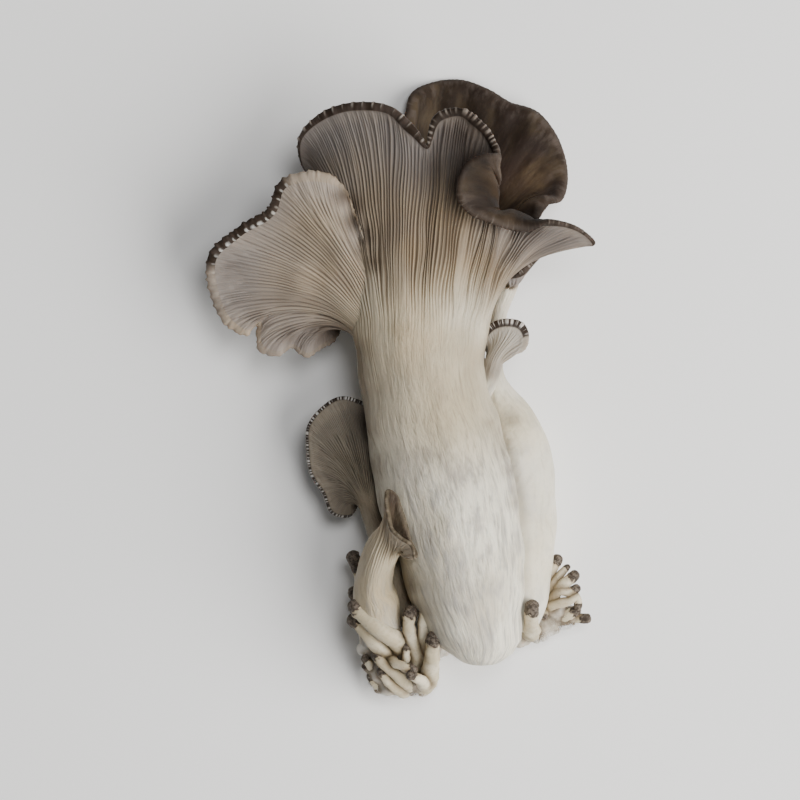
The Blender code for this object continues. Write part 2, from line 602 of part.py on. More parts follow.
def apply_boolean(obj, operation, operand=None, collection=None):
    cut = obj.modifiers.new(operation.title(), "BOOLEAN")
    cut.operation = operation
    cut.solver = "EXACT"
    cut.use_self = True
    if collection:
        cut.operand_type = "COLLECTION"
        cut.collection = collection
    else:
        cut.object = operand
    bpy.context.view_layer.update()
    graph = bpy.context.evaluated_depsgraph_get()
    mesh = bpy.data.meshes.new_from_object(obj.evaluated_get(graph))
    obj.modifiers.clear()
    old = obj.data
    obj.data = mesh
    bpy.data.meshes.remove(old)


def drop_scraps(obj):
    """Keep the largest loose piece, and merge points that lie on each other."""
    shape = bmesh.new()
    shape.from_mesh(obj.data)
    bmesh.ops.remove_doubles(shape, verts=shape.verts, dist=0.00002)
    bmesh.ops.triangulate(shape, faces=shape.faces)
    left = set(shape.verts)
    pieces = []
    while left:
        stack = [left.pop()]
        piece = set(stack)
        while stack:
            for edge in stack.pop().link_edges:
                for vertex in edge.verts:
                    if vertex in left:
                        left.remove(vertex)
                        piece.add(vertex)
                        stack.append(vertex)
        pieces.append(piece)
    pieces.sort(key=len)
    scraps = [vertex for piece in pieces[:-1] for vertex in piece]
    bmesh.ops.delete(shape, geom=scraps, context="VERTS")
    shape.to_mesh(obj.data)
    shape.free()


def remove(obj):
    bpy.data.objects.remove(obj)


def finish(obj, colour, roughness):
    """Smooth shading with the gills' edges kept, and the body's own material."""
    obj.data.shade_smooth()
    obj.data.set_sharp_from_angle(angle=math.radians(50))
    material = bpy.data.materials.new(obj.name)
    material.use_nodes = True
    surface = material.node_tree.nodes["Principled BSDF"]
    surface.inputs["Base Color"].default_value = (*colour, 1)
    surface.inputs["Roughness"].default_value = roughness
    surface.inputs["Metallic"].default_value = 0.0
    obj.data.materials.clear()
    obj.data.materials.append(material)


def build_main():
    """The large funnel with its side fan, which grew as one."""
    main = mushroom("main_mushroom", MAIN, MAIN_GRID)
    fan = mushroom("fan", FAN, FAN_GRID)
    apply_boolean(main, "UNION", fan)
    remove(fan)
    drop_scraps(main)
    finish(main, (0.42, 0.36, 0.29), 0.75)


def build_neighbours():
    """The smaller fruit bodies, each cut clear of what it leans on."""
    funnel = clearance("funnel_clearance", MAIN, MAIN_GRID, MAIN_GRID["cap"])
    right = mushroom("right_mushroom", RIGHT, RIGHT_GRID)
    apply_boolean(right, "DIFFERENCE", funnel)
    drop_scraps(right)
    finish(right, (0.66, 0.62, 0.54), 0.7)

    neck = clearance("neck_clearance", RIGHT, RIGHT_GRID, 0)
    small = mushroom("small_right_mushroom", SMALL_RIGHT, SMALL_GRID)
    apply_boolean(small, "DIFFERENCE", funnel)
    apply_boolean(small, "DIFFERENCE", neck)
    drop_scraps(small)
    finish(small, (0.4, 0.36, 0.31), 0.7)

    left = mushroom("left_mushroom", LEFT, LEFT_GRID)
    apply_boolean(left, "DIFFERENCE", funnel)
    drop_scraps(left)
    finish(left, (0.16, 0.13, 0.1), 0.75)

    left_stem = clearance("left_clearance", LEFT, LEFT_GRID, 0)
    curled = mushroom("curled_mushroom", CURLED, CURLED_GRID)
    apply_boolean(curled, "DIFFERENCE", funnel)
    apply_boolean(curled, "DIFFERENCE", left_stem)
    drop_scraps(curled)
    finish(curled, (0.52, 0.45, 0.36), 0.7)
    curled_stem = clearance("curled_clearance", CURLED, CURLED_GRID, 0)
    return [funnel, neck, left_stem, curled_stem]


def build_base(clear_of):
    """The lumpy common base with all its pins fused on, cut clear of the stems."""
    base = tube("base_with_pins", BRIDGE, BRIDGE_RADIUS, BRIDGE_RADIUS, 10, 8)
    parts = bpy.data.collections.new("base_parts")
    bpy.context.scene.collection.children.link(parts)
    grown = [lump("lump", centre, half) for centre, half in LUMPS]
    grown += [tube("pin", points, head, root, PIN_SIDES, PIN_RINGS)
              for points, head, root in PINS]
    for piece in grown:
        bpy.context.scene.collection.objects.unlink(piece)
        parts.objects.link(piece)
    apply_boolean(base, "UNION", collection=parts)
    for piece in grown:
        remove(piece)
    bpy.data.collections.remove(parts)
    for cutter in clear_of:
        apply_boolean(base, "DIFFERENCE", cutter)
    drop_scraps(base)
    finish(base, (0.5, 0.43, 0.33), 0.8)


def main():
    for obj in list(bpy.data.objects):
        bpy.data.objects.remove(obj)
    build_main()
    cutters = build_neighbours()
    build_base(cutters)
    for cutter in cutters:
        remove(cutter)


main()
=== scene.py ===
"""Oyster mushroom cluster: a cut bunch that lies on its back with the gills up.

Each fruit body is one skin, as in the solids: a stem that climbs into gills, a rolled margin and
the smooth cap side that runs back to the floor of the funnel. Here the gills, the streaks and the
scalloped margin have their real fineness. Lengths in the tables are in millimetres.
"""

import math

import bpy
import numpy as np
from bpy.props import FloatProperty, FloatVectorProperty, IntProperty, PointerProperty
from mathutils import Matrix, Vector
from mathutils.bvhtree import BVHTree


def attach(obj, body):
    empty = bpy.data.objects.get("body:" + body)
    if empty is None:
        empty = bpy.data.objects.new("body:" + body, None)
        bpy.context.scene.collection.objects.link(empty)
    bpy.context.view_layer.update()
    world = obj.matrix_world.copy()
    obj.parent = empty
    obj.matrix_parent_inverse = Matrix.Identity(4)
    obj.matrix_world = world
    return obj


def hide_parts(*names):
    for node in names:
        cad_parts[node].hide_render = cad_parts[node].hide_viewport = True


bl_info = {
    "name": "Oyster mushroom cluster",
    "version": (1, 0, 0),
    "blender": (4, 5, 0),
    "location": "View3D > Sidebar > Mushrooms",
    "description": "Builds a cut cluster of oyster mushrooms, its finishes and its stage",
    "category": "Add Mesh",
}

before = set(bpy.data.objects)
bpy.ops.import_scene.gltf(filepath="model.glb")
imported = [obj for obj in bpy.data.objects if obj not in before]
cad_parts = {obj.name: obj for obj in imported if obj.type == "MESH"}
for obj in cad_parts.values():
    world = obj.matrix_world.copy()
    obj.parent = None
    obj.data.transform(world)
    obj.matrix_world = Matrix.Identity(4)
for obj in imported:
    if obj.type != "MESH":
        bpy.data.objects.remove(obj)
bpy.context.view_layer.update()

MM = 0.001
BODY = "root"
CENTRE_X = 0.23       # middle of the cluster's box, which is the origin
CENTRE_Y = 0.9
CAP_SPACING = 1.25    # over 1, the rows of a cap crowd towards its margin
PULL_FROM = 0.4       # from here on the cap side closes in on the floor of the funnel
TURN_IN = 0.8         # how much the cap side's depth leans to the middle of its ring there
WALL_LEFT = 0.7       # thinnest wall left behind a valley
WALL_SHARE = 0.4      # a wall takes no more than this share of the room to the far side
MIDDLE_SHARE = 0.7    # nor than this share of the way to the middle of its ring
RAY_START = 0.3       # how far behind a surface the search for its far side starts
FAR_ENOUGH = 20.0     # how far it goes
SKIN_STEP = 2.5       # how far the cap side's streaks run from one of its rows to the next

# A stem is a list of rings from its pole up: x, y, z of the centre, half width, half depth.
# A rim is a closed list of points, counted from the right over the top side of the body:
# ring angle that its gill starts from (degrees), x, y, z of the gill's end, the handle that
# bends the gill there (x, y, z), and the share of the full margin roll.
# "floor" is the bottom of the funnel. "rise" is how far up the gills first follow the stem, as
# a share of their length. "roll" is how far the margin swells past the gills' ends. "wall" is the
# cap's thickness at the margin and "wall_growth" what it gains towards the floor. "reach" is how
# far down the gills the cap side follows them, and "even" how often its rings are evened out.
MAIN = {
    "stem": (
        (22.5, -76, 20, 0, 0),
        (22.5, -74, 20.5, 7.5, 9),
        (22.5, -70.5, 21, 11, 14),
        (21, -64, 21, 13.5, 18),
        (19.5, -57.5, 20.5, 16, 19.5),
        (17, -44, 20, 18, 20.5),
        (14, -30, 20, 19.5, 20.5),
        (10.5, -16, 21, 19, 20),
        (7, -2, 22.5, 18, 19.5),
        (5.5, 8, 23.5, 18, 19),
        (5.5, 18, 24.5, 19.5, 19),
    ),
    "rim": (
        (2, 53.5, 41.5, 31, -21, -3, -1, 0.4),
        (9, 49.5, 45, 35, -15, -4, -1, 0.4),
        (20, 42, 46.5, 40, -7, -4, -2, 0.7),
        (32, 33, 46, 44, 1, 9, -8, 1),
        (39, 24.5, 48, 48, 9, 7.5, -10, 0.7),
        (43, 18.5, 51, 52, 16, 5, -14, 0.7),
        (46, 16, 55, 55, 19, 3, -19, 0.7),
        (49, 17.5, 62, 56, 16, -1, -18, 0.7),
        (52, 21.5, 64.5, 53, 8, -5, -15, 0.8),
        (56, 25.5, 65, 47, 1, -9, -8, 1),
        (61, 24, 69, 46, -1, -9, -6, 1),
        (68, 20.5, 73.5, 46, -1.5, -10, -4, 1),
        (76, 16, 76.5, 46, -1, -10, -2, 1),
        (84, 11.5, 75.5, 46, 0, -10, -3, 1),
        (93, 7, 67.5, 46, 0, -9, -4, 0.5),
        (102, 2.5, 71.5, 46, 1, -10, -3, 1),
        (112, -3.5, 77, 44, 2, -10, -2, 1),
        (122, -12.5, 78.5, 40, 4, -10, -1, 1),
        (133, -22, 76, 34, 6, -9, 1, 1),
        (143, -28, 70.5, 28, 8, -6, 2, 0.6),
        (154, -27.5, 64, 23, 9, -3, 2, 0.35),
        (172, -22.5, 59.5, 15, 8, -6, 1, 0.4),
        (195, -14, 62, 9, 4, -9, 0, 1),
        (220, -4.5, 69.5, 6, 2, -10, 0, 1),
        (238, 2, 77.5, 5, 1, -10, 0, 1),
        (250, 4.5, 84.5, 2.6, 3, -9, 0.3, 1),
        (260, 10, 87, 0.1, 0, -10, 0.6, 1),
        (270, 17, 87.5, 0.1, 0, -10, 0.6, 1),
        (280, 24, 85, 2.2, -2, -10, 0.3, 1),
        (289, 30.5, 81, 3.5, -3, -9.5, 1, 1),
        (298, 37.5, 78.5, 5, -5, -9, 2, 1),
        (307, 42, 73, 6.5, -7, -7, 2, 1),
        (316, 44.5, 66.5, 8, -9, -4, 2, 1),
        (323, 45, 59, 12, -9, -2, 2, 1),
        (330, 43.2, 54.5, 16, -9, 0, 1, 1),
        (337, 39, 52.8, 20, -8, 1, 0, 1),
        (345, 37.5, 48, 22, -9, 0, 0, 0.5),
        (353, 46.5, 42, 26, -19, -3, 0, 0.4),
    ),
    "floor": (7, 31, 24.5),
    "rise": 0.35, "roll": 2.4, "wall": 2.4, "wall_growth": 2.0, "reach": 0.85, "even": 6,
}
FAN = {
    "stem": (
        (0.5, -7.5, 22, 5, 6),
        (-0.5, 1, 23, 7.5, 7.5),
        (-1, 9, 24.5, 8.5, 8.5),
        (-3, 16.5, 26, 9.5, 9),
    ),
    "rim": (
        (60, -4.5, 29.5, 35, 1.5, -7, -3, 0.2),
        (66, -9.5, 39.5, 38.3, 2.5, -12, -1, 0.2),
        (72, -13.5, 50.5, 37.8, 3, -16, 0, 0.2),
        (78, -16.5, 57.5, 38.0, 2, -18, 0, 0.3),
        (86, -19.5, 59, 39.3, 1, -17, 0, 0.8),
        (97, -26.5, 59.5, 39, 4, -14, 1, 1),
        (106, -32.5, 57.5, 37, 7, -8, 2, 1),
        (114, -35.5, 50.5, 34, 9, -5, 2, 1),
        (123, -45, 44.5, 29, 10, -4, 2, 1),
        (133, -52.5, 37.5, 25, 10, -1, 2, 1),
        (143, -52, 29, 22, 10, 2, 2, 1),
        (153, -47.5, 20, 24, 8, 5, 2, 0.8),
        (160, -43, 17.5, 25, 6, 8, 2, 0.6),
        (165, -40, 20, 23.5, 5, 7, 2, 0.6),
        (170, -39, 13, 25, 6, 8, 2, 0.6),
        (178, -34, 11.5, 25.5, 3, 9, 2, 0.5),
        (184, -30.5, 13.5, 23.5, 2, 8, 2, 0.4),
        (190, -26.5, 11, 24.5, 1, 9, 2, 0.4),
        (196, -22.5, 13.5, 21.5, 0, 8, 2, 0.5),
        (204, -19.5, 15.5, 18, -2, 8, 2, 0.6),
        (215, -16, 21, 13, -4, 5, 2, 0.6),
        (245, -9, 25.5, 12, -2, -4, 1, 0.6),
        (290, -3, 26.5, 18, -1, -5, 0, 0.5),
        (345, -1, 27, 28, 0, -5, -2, 0.2),
    ),
    "floor": (-7, 21, 25),
    "rise": 0.4, "roll": 2.2, "wall": 2.2, "wall_growth": 1.5, "reach": 0.75, "even": 2,
}
LEFT = {
    "stem": (
        (1, -67, 8, 0, 0),
        (1, -64, 8, 3, 5.5),
        (0.5, -59.5, 8.5, 4.5, 7.5),
        (-1, -52.5, 9.5, 5, 8),
        (-3.5, -45, 11, 4, 8),
        (-6, -38, 12, 4, 8),
        (-8.5, -31.5, 13, 3.5, 7.5),
    ),
    "rim": (
        (20, -0.5, -21.5, 17, -1, -9, 0, 0.7),
        (45, -3.5, -9, 21, 1, -9, 0, 1),
        (70, -11.5, -3.6, 21, 3, -9, 0, 1),
        (90, -17, -2.3, 20, 4, -8, 1, 1),
        (105, -22, -5.3, 19, 5, -7, 1, 1),
        (118, -25.3, -9.7, 18, 6, -5, 2, 1),
        (130, -25.5, -16, 17, 7, -2, 2, 1),
        (142, -24.5, -22.5, 16, 7, 0, 2, 1),
        (152, -21, -28, 15, 6, 3, 2, 1),
        (162, -18.6, -33.3, 14, 3, 5, 2, 1),
        (172, -14.6, -34, 12, 0, 4, 2, 1),
        (190, -12, -31, 8, -1, 0, 1.5, 0.4),
        (230, -9, -26, 5.5, -1, -4, 1, 0.4),
        (290, -3, -25, 6.5, -1, -4, 0, 0.4),
        (340, 0.5, -24.5, 13, -1.5, -6, 0, 0.4),
    ),
    "floor": (-8.5, -29, 12.5),
    "rise": 0.3, "roll": 1.6, "wall": 2.0, "wall_growth": 1.0, "reach": 0.7, "even": 1,
}
CURLED = {
    "stem": (
        (-4, -69.5, 17, 0, 0),
        (-4, -67.5, 17.5, 4, 6.5),
        (-5.8, -63.5, 19, 5.8, 8.5),
        (-6.9, -59, 20, 6.4, 9),
        (-7.8, -54, 22, 5.5, 8.5),
        (-7, -49, 25, 5, 7.5),
        (-5.5, -44.5, 28, 5, 6.5),
    ),
    "rim": (
        (5, 3.4, -45.9, 42, -4, -1.5, -4, 0.6),
        (25, 2.5, -42.5, 43, -4, -2, -4, 0.8),
        (45, -0.5, -40.5, 43, -2, -4, -4, 1),
        (65, -3, -38, 43, 0, -5, -4, 1),
        (85, -4, -34, 43, 1, -6, -3, 1),
        (105, -4.5, -29.5, 42, 1, -7, -2, 1),
        (130, -4, -27.5, 40, 0, -7, 0, 1),
        (170, -2, -28.5, 38, -1, -7, 0, 1),
        (220, -0.5, -32, 37, -3, -7, 0, 1),
        (270, 1, -36.5, 37, -4, -6, 0, 1),
        (310, 2.5, -41, 37, -5, -3, 0, 0.6),
        (340, 4.3, -45, 39, -4, -1, -2, 0.6),
    ),
    "floor": (-4, -41.5, 32.5),
    "rise": 0.3, "roll": 1.0, "wall": 1.3, "wall_growth": 0.2, "reach": 0.45, "even": 1,
}
RIGHT = {
    "stem": (
        (36.5, -68.5, 12, 0, 0),
        (36, -65.5, 12, 3.5, 7),
        (35.5, -62, 12, 5.5, 9),
        (34.5, -56, 12.5, 8, 11),
        (33, -44.5, 13, 10.5, 13.3),
        (33, -30, 13, 11, 13.3),
        (32, -19, 13, 10.5, 13.3),
        (30.5, -9, 13, 8.5, 12),
        (28, -2, 14, 5.5, 8),
        (26.5, 4, 15, 3.3, 5.5),
        (26.5, 12.5, 16, 2.5, 4.5),
        (27.5, 22, 17, 2.4, 4),
        (30, 29.5, 18, 2.5, 4),
    ),
    "rim": (
        (5, 38.5, 38, 22, -4, -3, 0, 1),
        (35, 37.4, 36.2, 26, -3, -4, 0, 1),
        (65, 33.4, 32.6, 27.5, -1, -4, 0, 1),
        (95, 29.6, 32.4, 27.5, 1, -4, 0, 1),
        (130, 28.5, 38, 26, 3, -4, 0, 1),
        (170, 28.5, 42, 22, 4, -3, 0, 1),
        (215, 30.5, 44, 17, 2, -4, 0, 1),
        (270, 34.5, 44.5, 14, 0, -5, 0, 1),
        (320, 38, 42, 16, -3, -4, 0, 1),
    ),
    "floor": (32, 35, 20.5),
    "rise": 0.3, "roll": 1.6, "wall": 1.6, "wall_growth": 0.4, "reach": 0.5, "even": 1,
}
SMALL_RIGHT = {
    "stem": (
        (23, -3, 20, 0, 0),
        (23, -2, 20.5, 1.5, 2.5),
        (24, 1.5, 21.5, 2.2, 3),
        (25, 5, 22.5, 2.5, 3.5),
        (26, 8.5, 23.5, 2.8, 3.5),
    ),
    "rim": (
        (0, 29.2, 10.2, 25, -1, -1, 0, 0.6),
        (25, 32.4, 11, 26.2, -2.5, -2, 0, 0.6),
        (45, 34.4, 13.6, 27, -4, -2, 0, 0.7),
        (65, 34.7, 16.4, 27, -4, -3, 0, 0.8),
        (85, 33.5, 18.5, 27, -3, -4, 0, 1),
        (110, 30, 19.5, 27, -1, -5, 0, 1),
        (135, 26.5, 18.8, 26, 1, -5, 0, 1),
        (170, 23.5, 15.5, 24, 2, -4, 0, 1),
        (220, 23.5, 12.5, 21, 1, -2, 0, 0.4),
        (290, 25.5, 11, 21, 0, -2, 0, 0.3),
    ),
    "floor": (28.5, 14, 24.3),
    "rise": 0.3, "roll": 1.6, "wall": 1.5, "wall_growth": 0.3, "reach": 0.5, "even": 1,
}

# Pins, the buds that never opened: points from head to root, head radius, root radius.
PINS = (
    (((-13.6, -46.2, 13), (-11.7, -51.5, 11), (-9.8, -60, 10), (-6.5, -71.5, 8)), 1.9, 2),
    (((-13.4, -56.3, 12), (-10.9, -62.5, 10), (-7, -73, 8)), 1.8, 1.9),
    (((-13.2, -59.7, 24), (-9.7, -63.4, 26), (-5, -66.9, 26.5), (-1.6, -69.2, 23.5), (-0.6, -73, 14)),
     2.0, 3.0),
    (((-13.8, -63.8, 19.5), (-11.3, -66, 21), (-8.2, -69.3, 22), (-5.4, -72.4, 20.5), (-4, -75, 13)),
     1.7, 2.6),
    (((2.7, -61, 26), (2.2, -64.7, 26), (3.3, -70, 23), (4.7, -75.4, 18), (5, -79, 10)), 1.9, 2.3),
    (((6.3, -59.3, 25.5), (6.2, -63, 25.5), (6.4, -67, 24.5), (6.8, -71, 21), (6.2, -75, 12)), 1.7, 2.3),
    (((9.2, -68.3, 28), (8.9, -72.4, 27), (8.5, -76.4, 23), (7.6, -80.8, 15), (6, -83, 8)), 2.0, 3.1),
    (((2.5, -78.9, 27), (5, -80.3, 25), (6.6, -82, 17)), 1.3, 2.1),
    (((-7, -73.9, 21), (-5.2, -76, 22.5), (-2.6, -78.2, 22), (-0.2, -80.4, 19), (2.5, -82.8, 12)),
     1.4, 2.0),
    (((-5.6, -78.2, 20), (-4.6, -80.1, 20), (-2.4, -82.2, 17), (0.8, -84.4, 9)), 1.25, 2.3),
    (((-8.4, -80, 13), (-7.2, -82, 12), (-5.4, -83.6, 6)), 1.3, 2.0),
    (((-10.3, -74.9, 15), (-9.2, -76.2, 15.5), (-7, -78.2, 10)), 1.1, 2.0),
    (((-10.4, -77.3, 12), (-9.2, -78.3, 12), (-7, -79.9, 8)), 0.9, 2.0),
    (((3.6, -77.6, 25.5), (1.3, -76.9, 25.8), (-1.2, -76, 24.5), (-2.6, -75.3, 16)), 1.25, 1.7),
    (((1.5, -71, 23.5), (1.5, -73, 23.5), (1.4, -75.5, 15)), 1.1, 1.5),
    (((36.9, -59.8, 24), (36.8, -62.6, 22), (36.9, -66, 17), (37, -68, 9)), 2.0, 2.5),
    (((44.5, -46.9, 13), (43.4, -49, 13), (41.5, -53.5, 11), (40, -58, 7)), 1.5, 2.0),
    (((49.3, -51.5, 14), (47.6, -52.8, 14.5), (45, -55, 13), (42.5, -59.5, 8)), 1.55, 2.1),
    (((47.3, -49.2, 12), (45.4, -51.2, 13), (43, -54.4, 12), (41, -58.5, 7)), 0.9, 2.3),
    (((49.7, -55.3, 13), (47.6, -56.4, 14), (45.2, -55.9, 14), (43.3, -57.8, 12), (42, -60.5, 7)),
     1.35, 1.6),
    (((50.2, -60.6, 13), (50, -57.6, 14.5), (47.5, -58.8, 14), (43, -60, 12), (41.5, -62.5, 7)), 1.1, 1.7),
    (((50, -61.6, 10), (48, -62.8, 10), (44.5, -63.8, 6)), 1.4, 2.2),
    (((52.9, -64, 9), (50, -64, 8), (45, -64.2, 5)), 1.4, 1.7),
    (((40.5, -63.6, 12), (41, -62, 11), (42, -61, 6)), 0.9, 2.0),
)
# Lumps of the common base: centre, half sizes.
LUMPS = (
    ((-0.5, -80.5, 8.5), (9.5, 5.5, 8.5)),
    ((-5, -77.5, 8.5), (5.5, 6.5, 9.5)),
    ((-9.3, -71.3, 9), (2.5, 4.8, 8.5)),
    ((4.5, -80, 8.5), (5.5, 5.5, 8.5)),
    ((0.6, -73.6, 12), (3.6, 5, 9)),
    ((0.8, -77.2, 20.5), (3.1, 1.6, 2.4)),
    ((43.5, -62, 6), (5, 4, 6)),
    ((47, -63.8, 6), (3.6, 3, 5)),
    ((41.2, -61.8, 8.5), (2.8, 2.2, 4)),
    ((39.5, -67, 5.5), (4, 3.2, 5.5)),
)
# The root that joins the two bunches under the thick stem.
BRIDGE = ((1, -78, 7), (11, -71, 4.5), (22.5, -67.5, 4.2), (34, -68, 4.5), (42.5, -64, 6))
BRIDGE_RADIUS = 4.2

# The coarse grid that the full detail is drawn over: columns on the stem, which the cap has twice
# as many of, and rows of stem, cap, roll and cap side.
MAIN_GRID = {"columns": 64, "stem": 9, "cap": 9, "roll": 2, "skin": 6}
FAN_GRID = {"columns": 48, "stem": 3, "cap": 8, "roll": 2, "skin": 5}
LEFT_GRID = {"columns": 32, "stem": 5, "cap": 6, "roll": 2, "skin": 4}
CURLED_GRID = {"columns": 24, "stem": 7, "cap": 6, "roll": 1, "skin": 2}
RIGHT_GRID = {"columns": 24, "stem": 13, "cap": 4, "roll": 1, "skin": 2}
SMALL_GRID = {"columns": 20, "stem": 4, "cap": 5, "roll": 1, "skin": 2}
# Full detail of each body. Columns round the cap, gills on the stem (which double twice as they
# spread), and rows of stem, cap, roll and cap side; the stem's first "coarse_stem" rows have fewer
# columns. Depths, swells, sways and lengths are in millimetres. "gills_from" says where the gills
# start (0 foot, 1 top of the stem, 2 margin), "gills_late" how much later at a ring angle,
# "gills_over" how long they take to rise, "gills_stop" how far short of the margin the shortest
# end, "finest" about how close they run, and "blade" the power that shapes their valleys. "knobs"
# is how many beads the margin has room for, "beads" how strong they are at a ring angle,
# "few_beads" where every other bead is missing, and "plain_rim" where the margin has no dark band.
# Places are soft round patches: x, y, reach, strength. Dark places are mostly painted shade, light
# places are painted light, and warm and grey places tint the flesh.
SHARED_DETAIL = {
    "coarse_stem": 0, "roll": 4, "gills_late": ((0, 0.0),), "gills_over": 0.5, "gills_stop": 1.0,
    "plain_rim": (), "few_beads": ((0, 0.0),),
    "dark_places": (), "warm_places": (), "light_places": (), "grey_places": (),
}
MAIN_DETAIL = SHARED_DETAIL | {
    "columns": 1536, "gills": 96, "stem": 34, "coarse_stem": 14, "cap": 38, "skin": 22,
    "seed": 11, "gill_depth": 0.5, "stem_depth": 0.34, "gills_from": (0.35, 0.85),
    "gills_late": ((0, 0.35), (60, 0.45), (110, 0.4), (150, 0.0), (260, 0.0), (330, 0.3)),
    "gills_stop": 2.2, "finest": 0.7, "blade": 0.8, "sway": 0.34,
    "swell": 0.55, "swell_length": 17.0, "dents": 0.11, "wrinkle": 0.6,
    "scallop": 0.6, "knobs": 210,
    "beads": ((0, 0.3), (32, 0.35), (56, 0.35), (64, 1.0), (92, 0.9), (110, 0.8), (165, 0.6),
              (200, 0.3), (345, 0.3)),
    "few_beads": ((0, 0.3), (92, 0.2), (100, 1.0), (170, 1.0), (200, 0.2), (345, 0.2)),
    # Dark places: painted shade on the stem's left side away from the light, under the fan's edge, under
    # the curled mushroom, in the lobes and the hollow behind the rolled margin, and along the groove to
    # the right mushroom; the broad one over the stem's neck darkens it.
    "dark_places": (
        (18, 72, 17, 1.0), (40, 44, 14, 0.45), (21, 60, 10, 1.0), (27, 53, 9, 1.0),
        (36, 49.5, 8, 1.0), (-14, 52, 6, 0.9), (-11, 44, 5, 0.9), (-7.5, 36, 5, 0.8),
        (14, 50, 14, 0.4), (-24, 62, 14, 0.3), (-14, 10, 10, 0.8), (-13, 0, 10, 0.8),
        (-12, -10, 10, 0.8), (-9, -22, 10, 0.8), (-6, -33, 10, 0.8), (-3, -45, 10, 0.9),
        (1.5, -54, 7, 0.8), (6, -61, 5, 0.6), (8, 60, 10, 0.3), (12, -8, 34, 0.34),
        (25.5, -9, 4, 0.5), (28, -15, 4, 0.5), (30, -21, 4, 0.5), (31.5, -30, 4, 0.4),
    ),
    "warm_places": ((2, 20, 22, 0.6), (10, 42, 22, 0.6), (14, -5, 26, 0.8)),
    # Light places: painted light in the deep hollow of the funnel.
    "light_places": ((31, 58, 13, 1.0), (38, 62, 10, 0.5)),
    "grey_places": (
        (14, -24, 9, 0.7), (6, -18, 6, 0.6), (17, -55, 9, 0.7), (22, -36, 7, 0.4),
        (4, -40, 7, 0.4), (24, -66, 6, 0.5),
    ),
}
FAN_DETAIL = SHARED_DETAIL | {
    "columns": 960, "gills": 60, "stem": 10, "coarse_stem": 2, "cap": 46, "skin": 20,
    "seed": 23, "gill_depth": 0.42, "stem_depth": 0.35, "gills_from": (-0.6, -0.1),
    "gills_stop": 7.0, "finest": 0.68, "blade": 1.7, "sway": 0.25,
    "swell": 0.4, "swell_length": 12.0, "dents": 0.1, "wrinkle": 0.3,
    "scallop": 0.9, "knobs": 78, "plain_rim": ((40, 104), (136, 360)),
    "beads": ((0, 0.5), (100, 0.9), (140, 0.9), (160, 0.6)),
    # Dark places: painted shade in the crease under the fan's right edge, between its lower lobes and over
    # its lower part.
    "dark_places": (
        (-24, 14, 14, 0.35), (-48, 34, 8, 0.2), (-17, 18, 9, 0.5), (-38, 14, 12, 0.2),
        (-9.5, 40, 5, 0.8), (-13, 48, 5, 0.9), (-16, 55, 5, 0.9), (-40, 21, 5, 0.4),
        (-31, 16, 5, 0.45), (-23.5, 17, 6, 0.4),
    ),
    "warm_places": ((-24, 46, 20, 1.0), (-14, 28, 16, 0.6)),
}
LEFT_DETAIL = SHARED_DETAIL | {
    "columns": 704, "gills": 44, "stem": 22, "coarse_stem": 6, "cap": 36, "skin": 14,
    "seed": 37, "gill_depth": 0.42, "stem_depth": 0.1, "gills_from": (0.6, 0.95),
    "gills_stop": 1.5, "finest": 0.4, "blade": 1.0, "sway": 0.12,
    "swell": 0.25, "swell_length": 9.0, "dents": 0.1, "wrinkle": 0.2,
    "scallop": 0.2, "knobs": 120, "beads": ((0, 0.75),),
    # Dark places: painted shade.
    "dark_places": ((-4, -34, 8, 0.5), (-9, -8, 10, 0.7)),
}
CURLED_DETAIL = SHARED_DETAIL | {
    "columns": 384, "gills": 24, "stem": 26, "cap": 34, "skin": 12,
    "seed": 41, "gill_depth": 0.35, "stem_depth": 0.3, "gills_from": (0.55, 0.8),
    "gills_late": ((0, 0.2), (60, 0.0), (150, -0.15), (240, 0.05), (320, 0.2)),
    "finest": 0.6, "blade": 0.9, "sway": 0.15,
    "swell": 0.3, "swell_length": 9.0, "dents": 0.08, "wrinkle": 0.1,
    "scallop": 0.1, "knobs": 24, "beads": ((0, 0.3),),
    # Dark places: painted shade on the stem's left side; the warm place tints the flesh.
    "dark_places": ((-13, -54, 7, 0.35), (-12, -62, 6, 0.2)), "warm_places": ((-5, -58, 12, 0.6),),
}
# The groove between the thick stem and the right mushroom, darkened as painted shadow: x and
# strength of the shade at every step down it.
GROOVE = ((26.5, 0.5), (28, 0.5), (29.2, 0.5), (30.3, 0.5), (31.3, 0.5), (32.1, 0.5), (32.7, 0.5),
          (33.2, 0.45), (33.6, 0.4), (33.9, 0.4), (34.1, 0.35), (34.3, 0.3), (34.4, 0.3),
          (34.4, 0.3), (34.4, 0.3), (34.4, 0.3), (34.3, 0.3), (34.2, 0.3), (34, 0.3))
GROOVE_TOP = -8
GROOVE_STEP = 3
GROOVE_REACH = 3.5
RIGHT_DETAIL = SHARED_DETAIL | {
    "columns": 288, "gills": 18, "stem": 64, "cap": 22, "skin": 10,
    "seed": 53, "gill_depth": 0.6, "stem_depth": 0.1, "gills_from": (0.7, 0.95),
    "gills_over": 0.3, "finest": 0.8, "blade": 1.2, "sway": 0.1,
    "swell": 0.5, "swell_length": 14.0, "dents": 0.16, "wrinkle": 0.1,
    "scallop": 0.15, "knobs": 16, "beads": ((0, 0.6),),
    # Dark places: darker towards the top of the right mushroom and on its lip, and painted shadow in the
    # groove to the thick stem.
    "dark_places": ((27, 10, 12, 0.6), (31.5, 34, 2.8, 1.0), (31, -7.5, 5, 0.4),
                    (34, -6, 9, 0.2)) + tuple(
                        (x, GROOVE_TOP - GROOVE_STEP * k, GROOVE_REACH, shade)
                        for k, (x, shade) in enumerate(GROOVE)),
    "warm_places": ((30, 12, 14, 0.5), (32, -8, 14, 0.8), (38, -45, 20, 0.4)),
    "grey_places": ((30, -6, 4, 1.0),),
}
